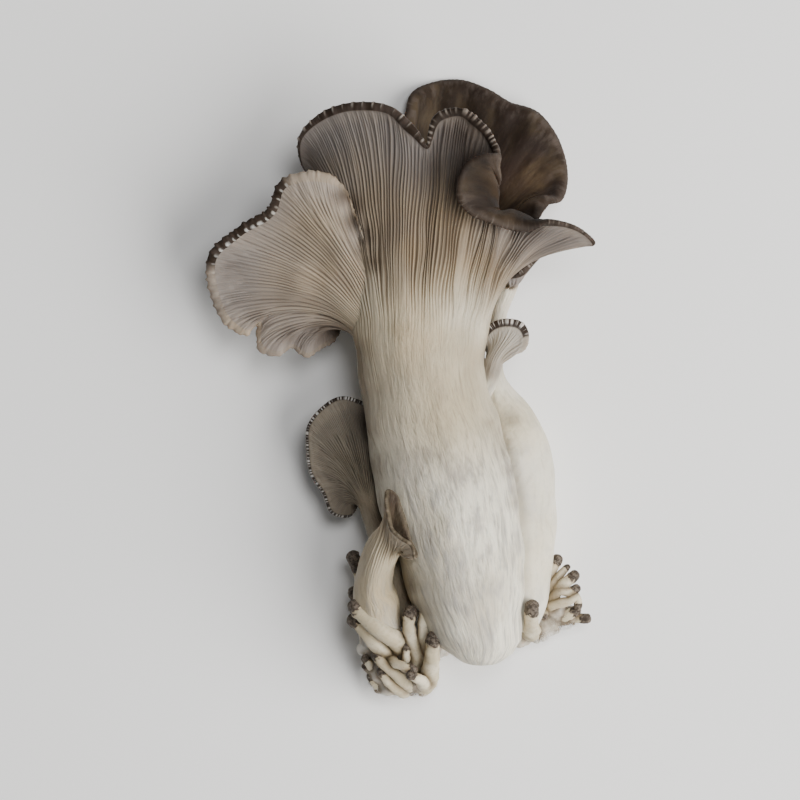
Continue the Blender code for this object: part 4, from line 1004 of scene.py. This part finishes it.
class Paint:
    """Adds the nodes of one material, and gives back their outputs."""

    def __init__(self, name):
        """Starts a material of this name."""
        self.material = bpy.data.materials.new(name)
        self.material.use_nodes = True
        self.tree = self.material.node_tree
        self.surface = self.tree.nodes["Principled BSDF"]

    def link(self, value, socket):
        """Joins an output to a socket, or sets the socket to a number or a colour."""
        if isinstance(value, bpy.types.NodeSocket):
            self.tree.links.new(value, socket)
        elif isinstance(value, (tuple, list)) and len(value) == 3 and socket.type == "RGBA":
            socket.default_value = (*value, 1)
        else:
            socket.default_value = value

    def mark(self, name, vector=False):
        """One of the marks that the mesh carries."""
        node = self.tree.nodes.new("ShaderNodeAttribute")
        node.attribute_name = name
        return node.outputs["Vector" if vector else "Fac"]

    def place(self):
        """The place on the object, in metres."""
        return self.tree.nodes.new("ShaderNodeTexCoord").outputs["Object"]

    def scaled(self, vector, scale):
        """A place stretched by a scale on each axis."""
        node = self.tree.nodes.new("ShaderNodeMapping")
        node.inputs["Scale"].default_value = scale
        self.link(vector, node.inputs["Vector"])
        return node.outputs["Vector"]

    def noise(self, vector, scale, detail=3.0, roughness=0.55):
        """Cloudy noise from 0 to 1."""
        node = self.tree.nodes.new("ShaderNodeTexNoise")
        self.link(vector, node.inputs["Vector"])
        node.inputs["Scale"].default_value = scale
        node.inputs["Detail"].default_value = detail
        node.inputs["Roughness"].default_value = roughness
        return node.outputs["Fac"]

    def band(self, value, low, high, to_low=0.0, to_high=1.0):
        """value read as a smooth step from low to high."""
        node = self.tree.nodes.new("ShaderNodeMapRange")
        node.interpolation_type = "SMOOTHSTEP"
        self.link(value, node.inputs["Value"])
        for key, number in (("From Min", low), ("From Max", high),
                            ("To Min", to_low), ("To Max", to_high)):
            node.inputs[key].default_value = number
        return node.outputs["Result"]

    def math(self, operation, a, b=0.0):
        """One step of arithmetic on two values."""
        node = self.tree.nodes.new("ShaderNodeMath")
        node.operation = operation
        self.link(a, node.inputs[0])
        self.link(b, node.inputs[1])
        return node.outputs[0]

    def mix(self, share, a, b, kind="MIX"):
        """Colour a with a share of colour b over it."""
        node = self.tree.nodes.new("ShaderNodeMix")
        node.data_type = "RGBA"
        node.blend_type = kind
        self.link(share, node.inputs[0])
        self.link(a, node.inputs[6])
        self.link(b, node.inputs[7])
        return node.outputs[2]

    def bump(self, height, distance, strength=1.0):
        """A normal bent by a height."""
        node = self.tree.nodes.new("ShaderNodeBump")
        self.link(height, node.inputs["Height"])
        node.inputs["Distance"].default_value = distance
        node.inputs["Strength"].default_value = strength
        return node.outputs["Normal"]

    def finish(self, colour, roughness, normal, flesh=0.2, gloss=0.25):
        """The finished material, with the way that light passes into the flesh."""
        surface = self.surface.inputs
        self.link(colour, surface["Base Color"])
        self.link(roughness, surface["Roughness"])
        self.link(normal, surface["Normal"])
        surface["Subsurface Weight"].default_value = flesh
        surface["Subsurface Radius"].default_value = (1.0, 0.6, 0.4)
        surface["Subsurface Scale"].default_value = 0.0025
        self.link(gloss, surface["Specular IOR Level"])
        return self.material


def stem_colour(paint, tone, flow, cloud, fibre, bundle):
    """White flesh with cream clouds, grey mottling and fine darker fibres."""
    blotch = paint.noise(paint.scaled(flow, (1.0, 1.0, 0.55)), 0.13, 2.0)
    stem = paint.mix(paint.band(cloud, 0.42, 0.6), tone["stem"], tone["cream"])
    stem = paint.mix(paint.band(bundle, 0.45, 0.7, 0.0, 0.8), stem, tone["mottle"])
    stem = paint.mix(paint.band(blotch, 0.5, 0.7, 0.0, 0.6), stem, tone["mottle"])
    stem = paint.mix(paint.band(fibre, 0.48, 0.72, 0.0, 0.6), stem, tone["fibre"])
    grey = paint.math("MULTIPLY", paint.mark("grey"), paint.band(bundle, 0.35, 0.6, 0.2, 0.8))
    return paint.mix(grey, stem, tone["mottle"])


def ridge_colour(paint, tone, valley, cloud, fibre):
    """The low ridges that the gills start as, darkened to brown between them as painted shade."""
    ridge = paint.mix(paint.band(cloud, 0.35, 0.65), tone["ridge"], tone["cream"])
    ridge = paint.mix(paint.band(fibre, 0.45, 0.75, 0.0, 0.5), ridge, tone["fibre"])
    return paint.mix(paint.band(valley, 0.3, 1.0), ridge, tone["groove"])


def crest_colour(paint, tone, flow, cloud):
    """The edges of the gills, which differ from gill to gill and in broad streaks."""
    crest = paint.mix(paint.band(cloud, 0.38, 0.62), tone["gill"], tone["gill_warm"])
    crest = paint.mix(paint.math("MULTIPLY", paint.mark("gill"), 0.35), crest, tone["gill_dark_and_valley_shade"])
    sweep = paint.noise(paint.scaled(flow, (1.0, 1.0, 0.05)), 0.28, 3.0, 0.6)
    return paint.mix(paint.band(sweep, 0.48, 0.66, 0.0, tone["sweep"]), crest, tone["gill_dark_and_valley_shade"])


def edge_colour(paint, tone, along, fine_streak, patch):
    """The dark band of the margin, with pale spots on its beads."""
    edge = paint.mix(paint.band(fine_streak, 0.35, 0.65), tone["margin"], tone["skin"])
    spots = paint.math("MULTIPLY", paint.band(paint.mark("bead"), 0.12, 0.6),
                       paint.band(along, *tone["spots_from"]))
    spots = paint.math("MULTIPLY", spots, paint.band(along, *tone["spots_to"], 1.0, 0.0))
    spots = paint.math("MULTIPLY", spots, paint.band(patch, 0.3, 0.6, tone["spots_low"], 1.0))
    return paint.mix(spots, edge, tone["spot"])


def hide_colour(paint, tone, along, flow, place, crest):
    """The streaked cap side with its margin, which is as pale as the gills where it is plain."""
    streak = paint.noise(paint.scaled(flow, (1.0, 1.0, 0.12)), 0.3, 4.0, 0.55)
    fine_streak = paint.noise(paint.scaled(flow, (1.0, 1.0, 0.08)), 1.1, 4.0, 0.6)
    patch = paint.noise(place, 50.0, 3.0)
    hide = paint.mix(paint.band(streak, 0.4, 0.62), tone["skin"], tone["skin_light"])
    hide = paint.mix(paint.band(patch, 0.45, 0.65, 0.0, 0.7), hide, tone["skin_dark"])
    hide = paint.mix(paint.band(fine_streak, 0.5, 0.75, 0.0, 0.35), hide, tone["margin"])
    frill = paint.math("MULTIPLY", paint.band(along, 3.22, 2.7),
                       paint.band(fine_streak, 0.42, 0.66, 0.0, 0.7))
    hide = paint.mix(frill, hide, tone["frill"])
    edge = edge_colour(paint, tone, along, fine_streak, patch)
    hide = paint.mix(paint.band(along, 2.5, 3.02), edge, hide)
    plain = paint.math("MULTIPLY", paint.mark("plain"), paint.band(along, 3.0, 2.7))
    return paint.mix(plain, hide, crest)


def flesh_relief(paint, along, place, fibre, bundle):
    """Raised fibres and fine grain, strongest on the middle of the stem."""
    grain = paint.noise(place, 900.0, 4.0, 0.6)
    height = paint.math("ADD", paint.math("MULTIPLY", fibre, 0.5), paint.math("MULTIPLY", bundle, 0.9))
    height = paint.math("ADD", height, paint.math("MULTIPLY", grain, 0.15))
    height = paint.math("MULTIPLY", height, paint.band(along, 1.3, 0.9, 0.35, 1.0))
    height = paint.math("MULTIPLY", height, paint.band(along, 0.05, 0.5, 0.45, 1.0))
    return paint.bump(height, 0.0014, 0.7)


def flesh(name, tone):
    """The finish of a fruit body: pale stem, gills, margin and dark cap skin, read along it."""
    paint = Paint(name)
    along, valley, flow = paint.mark("along"), paint.mark("valley"), paint.mark("flow", True)
    place = paint.place()
    fibre = paint.noise(paint.scaled(flow, (1.0, 1.0, 0.16)), 1.6, 6.0, 0.65)
    bundle = paint.noise(paint.scaled(flow, (1.0, 1.0, 0.3)), 0.42, 3.0, 0.6)
    cloud = paint.noise(place, 42.0, 2.0)

    stem = stem_colour(paint, tone, flow, cloud, fibre, bundle)
    ridge = ridge_colour(paint, tone, valley, cloud, fibre)
    crest = crest_colour(paint, tone, flow, cloud)
    # painted shade in the valleys between the gills
    gills = paint.mix(paint.band(valley, 0.2, 1.0, 0.0, tone["lines"]), crest, tone["gill_dark_and_valley_shade"])
    dusk = paint.mix(0.5, gills, tone["gill_dusk"])
    hide = hide_colour(paint, tone, along, flow, place, crest)
    colour = paint.mix(paint.band(along, *tone["ridge_from"]), stem, ridge)
    colour = paint.mix(paint.band(along, *tone["gill_from"]), colour, gills)
    colour = paint.mix(paint.band(along, *tone["dusk_from"]), colour, dusk)
    colour = paint.mix(paint.band(along, *tone["band_from"]), colour, hide)
    # Warm places tint the flesh; dark places add painted shade, in a few spots darker flesh, and light
    # places add painted light.
    for mark, shade in (("warm", "warmth"), ("dark", "shadow"), ("light", "painted_light")):
        colour = paint.mix(paint.mark(mark), colour, tone[shade], "MULTIPLY")

    rough = paint.band(along, 2.2, 3.0, 0.62, 0.55)
    gloss = paint.band(along, 1.9, 2.1, 0.22, 0.1)
    relief = flesh_relief(paint, along, place, fibre, bundle)
    return paint.finish(colour, rough, relief, tone["flesh"], gloss)


def pin_course(points, head_radius, root_radius):
    """Places down a pin, and its centre and radius there."""
    course = np.array(points, float)
    knots = np.concatenate([[0], np.cumsum(np.linalg.norm(np.diff(course, axis=0), axis=1))])
    head = head_radius * PIN_HEAD
    at = np.concatenate([np.linspace(0, 2 * head, 8)[:-1], np.linspace(2 * head, knots[-1], 14)])
    at = np.sort(np.minimum(at, knots[-1]))
    neck = head_radius * PIN_NECK
    radius = neck + (root_radius * PIN_ROOT - neck) * (at / knots[-1]) ** 0.9
    radius = radius + (head - neck) * (1 - ease((at - 0.5 * head) / (1.2 * head)))
    return at, smooth_curve(knots, course, at), radius


def crevice_shade_mask(points, courses):
    """How much painted shade a point gets in a crevice: 1 where another pin touches it, 0 from CREVICE
    away.
    """
    gap = np.full(points.shape[:-1], 9.0)
    for _, centre, radius in courses:
        far = np.linalg.norm(points[..., None, :] - centre, axis=-1) - radius
        gap = np.minimum(gap, far.min(axis=-1))
    return (1 - ease(gap / CREVICE)) ** 1.5


def pin_object(name, index):
    """A pin: a bent finger from a rounded dark head to a wider root."""
    courses = [pin_course(*pin) for pin in PINS]
    at, centre, radius = courses.pop(index)
    head, seed = PINS[index][1] * PIN_HEAD, PIN_SEED + 5 * index
    way = unit(np.gradient(centre, axis=0) + 1e-9)
    side = unit(np.cross(way, (0.3, 0.2, 1.0)))
    other = np.cross(side, way)
    dome = [(0, -0.85 * head * math.sin(bow), math.cos(bow))
            for bow in np.radians((78, 62, 46, 30, 15))]
    turn = np.arange(PIN_COLUMNS) / PIN_COLUMNS * 2 * math.pi
    dark = HEAD_REACH.get(index, USUAL_HEAD_REACH) * head
    rows, heads = [], []
    for i, shift, share in dome + [(i, 0.0, 1.0) for i in range(len(at))]:
        ring = np.cos(turn)[:, None] * side[i] + np.sin(turn)[:, None] * other[i]
        row = centre[i] + way[i] * shift + ring * share * radius[i]
        lumpy = waves(row / 3.0, seed) * 0.13 * head + waves(row / 1.0, seed + 1) * 0.055 * head
        rows.append(row + ring * lumpy[:, None])
        reach = at[i] + shift + waves(row / 1.3, seed + 2) * 0.4 * head
        heads.append(1 - ease((reach - dark) / (0.5 * head)))
    first = centre[0] - way[0] * 0.87 * head
    last = centre[-1] + way[-1] * 0.4 * radius[-1]
    # painted shade where other pins touch this one
    marks = {"head": heads, "crevice_shade": list(crevice_shade_mask(np.array(rows), courses))}
    return skin_object(name, rows, [PIN_COLUMNS] * len(rows), first, last, marks)


def picked(objects):
    """Selects just these objects, the first of them active."""
    bpy.ops.object.select_all(action="DESELECT")
    for obj in objects:
        obj.select_set(True)
    bpy.context.view_layer.objects.active = objects[0]


def joined(objects, name):
    """Several objects made one."""
    picked(objects)
    bpy.ops.object.join()
    objects[0].name = objects[0].data.name = name
    return objects[0]


def applied(obj, kind, **settings):
    """A modifier put on an object and applied."""
    picked([obj])
    modifier = obj.modifiers.new(kind.title(), kind)
    for key, value in settings.items():
        setattr(modifier, key, value)
    bpy.ops.object.modifier_apply(modifier=modifier.name)


def lump_object(centre, half):
    """A ball drawn out to a lump of the base."""
    at = Vector((centre[0] - CENTRE_X, centre[1] - CENTRE_Y, centre[2])) * MM
    bpy.ops.mesh.primitive_ico_sphere_add(subdivisions=4, radius=MM, location=at)
    obj = bpy.context.object
    bpy.ops.object.mode_set(mode="EDIT")
    bpy.ops.mesh.select_all(action="SELECT")
    bpy.ops.transform.resize(value=half)
    bpy.ops.object.mode_set(mode="OBJECT")
    bpy.ops.object.transform_apply(location=True, rotation=True, scale=True)
    return obj


def roughened(obj, seed):
    """Swell and small warts over a lump, kept above the surface that it lies on."""
    points = np.empty(len(obj.data.vertices) * 3)
    obj.data.vertices.foreach_get("co", points)
    normals = np.empty_like(points)
    obj.data.vertex_normals.foreach_get("vector", normals)
    points, normals = points.reshape(-1, 3) / MM, normals.reshape(-1, 3)
    shift = waves(points / 6.0, seed) * 0.7 + waves(points / 2.2, seed + 1) * 0.3
    shift += waves(points / 0.9, seed + 2) * 0.1
    points = points + normals * shift[:, None]
    points[:, 2] = np.maximum(points[:, 2], 0)
    obj.data.vertices.foreach_set("co", (points * MM).ravel())
    obj.data.update()


def base_object(name):
    """The lumps and the root under the stem, grown together."""
    course = np.array(BRIDGE, float)
    knots = np.linspace(0, 1, len(course))
    lumps = [lump_object(centre, half) for centre, half in LUMPS]
    for centre in smooth_curve(knots, course, np.linspace(0, 1, BRIDGE_BALLS)):
        lumps.append(lump_object(centre, (BRIDGE_RADIUS,) * 3))
    base = joined(lumps, name)
    applied(base, "REMESH", mode="VOXEL", voxel_size=VOXEL * MM)
    applied(base, "SMOOTH", factor=0.5, iterations=12)
    roughened(base, LUMP_SEED)
    points = np.empty(len(base.data.vertices) * 3)
    base.data.vertices.foreach_get("co", points)
    points = points.reshape(-1, 3) / MM + (CENTRE_X, CENTRE_Y, 0)
    # painted shade where the pins touch the base
    near = crevice_shade_mask(points, [pin_course(*pin) for pin in PINS])
    base.data.attributes.new("crevice_shade", "FLOAT", "POINT").data.foreach_set("value", near)
    base.data.shade_smooth()
    return base


def thread_points(rng, centre, half):
    """One tapering thread: two rings of three points and a tip."""
    way = unit(rng.normal(size=3))
    way[2] = abs(way[2]) * 0.6
    root = np.array(centre) + way * np.array(half) * 0.97
    lean = unit(way + rng.normal(size=3) * 0.5 + (0, -0.35, 0))
    length = rng.uniform(*THREAD_LENGTH)
    bend = rng.normal(size=3) * 0.2
    side = unit(np.cross(lean, rng.normal(size=3)))
    other = np.cross(lean, side)
    points = []
    for k, thick in THREAD_RINGS:
        middle = root + lean * length * k + bend * k * k
        for turn in (0, 2.094, 4.189):
            points.append(middle + (side * math.cos(turn) + other * math.sin(turn)) * thick)
    return points + [root + lean * length + bend]


def thread_object(name, count):
    """Fine white threads standing off the lowest parts of the bunch."""
    rng = np.random.default_rng(THREAD_SEED)
    points, faces = [], []
    for centre, half, share in THREAD_PLACES:
        for _ in range(int(count * share)):
            start = len(points)
            points += thread_points(rng, centre, half)
            for i in range(3):
                j = (i + 1) % 3
                faces.append((start + i, start + j, start + 3 + j, start + 3 + i))
                faces.append((start + 3 + i, start + 3 + j, start + 6))
            faces.append((start + 2, start + 1, start))
    points = (np.array(points) - (CENTRE_X, CENTRE_Y, 0)) * MM
    points[:, 2] = np.maximum(points[:, 2], 0.0)
    mesh = bpy.data.meshes.new(name)
    mesh.from_pydata(points.tolist(), [], faces)
    obj = bpy.data.objects.new(name, mesh)
    bpy.context.scene.collection.objects.link(obj)
    return obj


def base_finish():
    """Cream to white flesh of the base with brown patches, and painted shade where the pins touch it."""
    paint = Paint("base_flesh")
    place = paint.place()
    patch = paint.noise(place, 160.0, 4.0)
    wide = paint.noise(place, 55.0, 2.0)
    colour = paint.mix(paint.band(patch, 0.35, 0.7), BASE_TONES["cream"], BASE_TONES["brown"])
    colour = paint.mix(paint.band(wide, 0.45, 0.65, 0.0, 0.7), colour, BASE_TONES["white"])
    colour = paint.mix(paint.mark("crevice_shade"), colour, PAINTED_CREVICE_SHADE, "MULTIPLY")
    grain = paint.noise(place, 1500.0, 4.0, 0.7)
    return paint.finish(colour, 0.8, paint.bump(grain, 0.0006, 0.6), 0.15)


def pin_finish():
    """Cream fingers with charcoal heads that are scaly and speckled."""
    paint = Paint("pin_flesh")
    place, head = paint.place(), paint.mark("head")
    patch = paint.noise(place, 140.0, 3.0)
    scale = paint.noise(place, 1100.0, 3.0, 0.7)
    body = paint.mix(paint.band(patch, 0.4, 0.7), PIN_TONES["brown"], PIN_TONES["cream"])
    body = paint.mix(paint.band(scale, 0.5, 0.7, 0.0, 0.5), body, PIN_TONES["speck"])
    # painted shade in the crevices where pins touch
    body = paint.mix(paint.mark("crevice_shade"), body, PAINTED_CREVICE_SHADE, "MULTIPLY")
    top = paint.mix(paint.band(scale, 0.42, 0.62), PIN_TONES["charcoal"], PIN_TONES["scale"])
    colour = paint.mix(paint.band(head, 0.02, 0.5, 0.0, 0.6), body, PIN_TONES["neck"])
    colour = paint.mix(paint.band(head, 0.4, 0.7), colour, top)
    height = paint.math("MULTIPLY", scale, paint.band(head, 0.2, 0.8, 0.25, 1.0))
    return paint.finish(colour, 0.72, paint.bump(height, 0.0005, 0.7), 0.15)


def thread_finish():
    """White mycelium threads."""
    paint = Paint("white_threads")
    shade = paint.noise(paint.place(), 300.0, 2.0)
    colour = paint.mix(shade, *THREAD_TONES)
    return paint.finish(colour, 0.85, paint.bump(shade, 0.0001, 0.3), 0.6)


def colour_property(name, description, default):
    """A colour that a user can change."""
    return FloatVectorProperty(name=name, description=description, subtype="COLOR", size=3,
                               min=0.0, max=1.0, default=default)


class MushroomLook(bpy.types.PropertyGroup):
    """Colours of the flesh that a user would change."""

    stem: colour_property("Stem", "White flesh of the stems", TONES["stem"])
    gill: colour_property("Gills", "Grey-beige edges of the gills", TONES["gill"])
    skin: colour_property("Cap skin", "Dark brown skin of the caps", TONES["skin"])
    threads: IntProperty(name="Threads", description="How many white threads grow on the base",
                         default=9000, min=0, max=20000)


class MushroomStage(bpy.types.PropertyGroup):
    """Light and camera that a user would change."""

    key_power: FloatProperty(name="Main light", description="Power of the soft main light",
                             unit="POWER", default=32.0, min=0.0)
    fill_power: FloatProperty(name="Fill light", description="Power of the weak light beside the camera",
                              unit="POWER", default=6.0, min=0.0)
    sky: FloatProperty(name="Sky", description="Strength of the light from all round",
                       default=0.17, min=0.0)
    camera_height: FloatProperty(name="Camera height", description="Height over the surface",
                                 unit="LENGTH", default=1.274, min=0.3)


def body_tones(own=None):
    """The shared colours with the user's own, and with what one body has different."""
    look = bpy.context.scene.mushroom_look
    mine = {"stem": tuple(look.stem), "gill": tuple(look.gill), "skin": tuple(look.skin)}
    return TONES | mine | (own or {})


def placed(obj, material, node):
    """Puts a finished piece on the body, in place of its solid."""
    obj.data.materials.clear()
    obj.data.materials.append(material)
    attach(obj, BODY)
    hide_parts(node)


class MUSHROOM_OT_funnel(bpy.types.Operator):
    """Add the large mushroom: thick stem, gilled funnel and rolled margin"""

    bl_idname = "mushroom.funnel"
    bl_label = "Funnel mushroom"

    def execute(self, context):
        obj = grow("funnel_mushroom", MAIN, MAIN_GRID, MAIN_DETAIL)
        placed(obj, flesh("funnel_flesh", body_tones()), "main_mushroom")
        return {"FINISHED"}


class MUSHROOM_OT_fan(bpy.types.Operator):
    """Add the side fan that grows from the large stem"""

    bl_idname = "mushroom.fan"
    bl_label = "Side fan"

    def execute(self, context):
        obj = grow("side_fan", FAN, FAN_GRID, FAN_DETAIL)
        placed(obj, flesh("fan_flesh", body_tones(FAN_TONES)), "main_mushroom")
        return {"FINISHED"}


class MUSHROOM_OT_kidney(bpy.types.Operator):
    """Add the olive-brown kidney-shaped cap on the left"""

    bl_idname = "mushroom.kidney"
    bl_label = "Kidney cap"

    def execute(self, context):
        obj = grow("kidney_mushroom", LEFT, LEFT_GRID, LEFT_DETAIL)
        placed(obj, flesh("kidney_flesh", body_tones(KIDNEY_TONES)), "left_mushroom")
        return {"FINISHED"}


class MUSHROOM_OT_curled(bpy.types.Operator):
    """Add the young mushroom whose cap is still curled in"""

    bl_idname = "mushroom.curled"
    bl_label = "Curled mushroom"

    def execute(self, context):
        obj = grow("curled_young_mushroom", CURLED, CURLED_GRID, CURLED_DETAIL)
        placed(obj, flesh("curled_flesh", body_tones(CURLED_TONES)), "curled_mushroom")
        return {"FINISHED"}


class MUSHROOM_OT_right(bpy.types.Operator):
    """Add the pale swollen stem on the right with its small cap"""

    bl_idname = "mushroom.right"
    bl_label = "Right mushroom"

    def execute(self, context):
        obj = grow("right_pale_mushroom", RIGHT, RIGHT_GRID, RIGHT_DETAIL)
        placed(obj, flesh("right_flesh", body_tones(RIGHT_TONES)), "right_mushroom")
        return {"FINISHED"}


class MUSHROOM_OT_small(bpy.types.Operator):
    """Add the small cap that leans out between the stems on the right"""

    bl_idname = "mushroom.small"
    bl_label = "Small right cap"

    def execute(self, context):
        obj = grow("small_cap_mushroom", SMALL_RIGHT, SMALL_GRID, SMALL_DETAIL)
        material = flesh("small_cap_flesh", body_tones(SMALL_TONES))
        placed(obj, material, "small_right_mushroom")
        return {"FINISHED"}


class MUSHROOM_OT_base(bpy.types.Operator):
    """Add the lumpy base that holds the bunch together"""

    bl_idname = "mushroom.base"
    bl_label = "Base"

    def execute(self, context):
        placed(base_object("base_lumps"), base_finish(), "base_with_pins")
        return {"FINISHED"}


class MUSHROOM_OT_pins(bpy.types.Operator):
    """Add the pins, the buds that never opened"""

    bl_idname = "mushroom.pins"
    bl_label = "Pins"

    def execute(self, context):
        pins = [pin_object(f"pin_{i}", i) for i in range(len(PINS))]
        placed(joined(pins, "pin_buds"), pin_finish(), "base_with_pins")
        return {"FINISHED"}


class MUSHROOM_OT_threads(bpy.types.Operator):
    """Add the white threads on the base and under the cut end"""

    bl_idname = "mushroom.threads"
    bl_label = "White threads"

    def execute(self, context):
        count = context.scene.mushroom_look.threads
        obj = thread_object("white_threads", count)
        placed(obj, thread_finish(), "base_with_pins")
        return {"FINISHED"}


def area_light(name, place, size, power, colour):
    """A round soft light that the camera doesn't see, aimed at the cluster."""
    light = bpy.data.lights.new(name, "AREA")
    light.shape = "DISK"
    light.size = size
    light.energy = power
    light.color = colour
    obj = bpy.data.objects.new(name, light)
    obj.location = place
    obj.rotation_euler = (Vector(LIGHT_AIM) - Vector(place)).to_track_quat("-Z", "Y").to_euler()
    obj.visible_camera = False
    bpy.context.scene.collection.objects.link(obj)


class MUSHROOM_OT_stage(bpy.types.Operator):
    """Add the pale floor, the soft lights and the camera that looks straight down"""

    bl_idname = "mushroom.stage"
    bl_label = "Stage"

    def execute(self, context):
        stage = context.scene.mushroom_stage
        bpy.ops.mesh.primitive_plane_add(size=FLOOR_SIZE, location=(0, 0, 0))
        floor = context.object
        floor.name = "pale_floor"
        paint = Paint("floor_paper")
        cloud = paint.noise(paint.place(), 3.0, 2.0)
        tint = paint.mix(cloud, *FLOOR_TONES)
        grain = paint.noise(paint.place(), 900.0, 2.0)
        paint.finish(tint, 0.9, paint.bump(grain, 0.00005, 0.2), 0.0)
        floor.data.materials.append(paint.material)

        world = bpy.data.worlds.new("soft_sky")
        world.use_nodes = True
        sky = world.node_tree.nodes["Background"].inputs
        sky["Color"].default_value = (1, 1, 1, 1)
        sky["Strength"].default_value = stage.sky
        context.scene.world = world
        area_light("main_light", MAIN_LIGHT, MAIN_LIGHT_SIZE, stage.key_power, (1.0, 0.985, 0.96))
        area_light("fill_light", FILL_LIGHT, FILL_LIGHT_SIZE, stage.fill_power, (1.0, 1.0, 1.0))

        camera = bpy.data.cameras.new("camera")
        camera.lens = LENS
        camera.sensor_width = SENSOR
        view = bpy.data.objects.new("camera", camera)
        view.location = (CAMERA_X * MM, CAMERA_Y * MM, stage.camera_height)
        context.scene.collection.objects.link(view)
        context.scene.camera = view
        return {"FINISHED"}


PIECES = (MUSHROOM_OT_funnel, MUSHROOM_OT_fan, MUSHROOM_OT_kidney, MUSHROOM_OT_curled,
          MUSHROOM_OT_right, MUSHROOM_OT_small, MUSHROOM_OT_base, MUSHROOM_OT_pins,
          MUSHROOM_OT_threads, MUSHROOM_OT_stage)


class MUSHROOM_PT_panel(bpy.types.Panel):
    """The pieces in the order they are made, and their settings"""

    bl_idname = "MUSHROOM_PT_panel"
    bl_label = "Oyster mushroom cluster"
    bl_space_type = "VIEW_3D"
    bl_region_type = "UI"
    bl_category = "Mushrooms"

    def draw(self, context):
        scene = context.scene
        for group in (scene.mushroom_look, scene.mushroom_stage):
            box = self.layout.box()
            for key in group.__annotations__:
                box.prop(group, key)
        for piece in PIECES:
            self.layout.operator(piece.bl_idname)


CLASSES = (MushroomLook, MushroomStage) + PIECES + (MUSHROOM_PT_panel,)


def register():
    for cls in CLASSES:
        bpy.utils.register_class(cls)
    bpy.types.Scene.mushroom_look = PointerProperty(type=MushroomLook)
    bpy.types.Scene.mushroom_stage = PointerProperty(type=MushroomStage)


def unregister():
    del bpy.types.Scene.mushroom_look
    del bpy.types.Scene.mushroom_stage
    for cls in reversed(CLASSES):
        bpy.utils.unregister_class(cls)


def plain(box):
    """A box's corners as lists of numbers."""
    return [[float(number) for number in corner] for corner in box]


def main():
    register()
    bpy.ops.object.select_all(action="DESELECT")
    for piece in PIECES:
        getattr(bpy.ops.mushroom, piece.bl_idname.split(".")[1])()


if __name__ == "__main__":
    main()
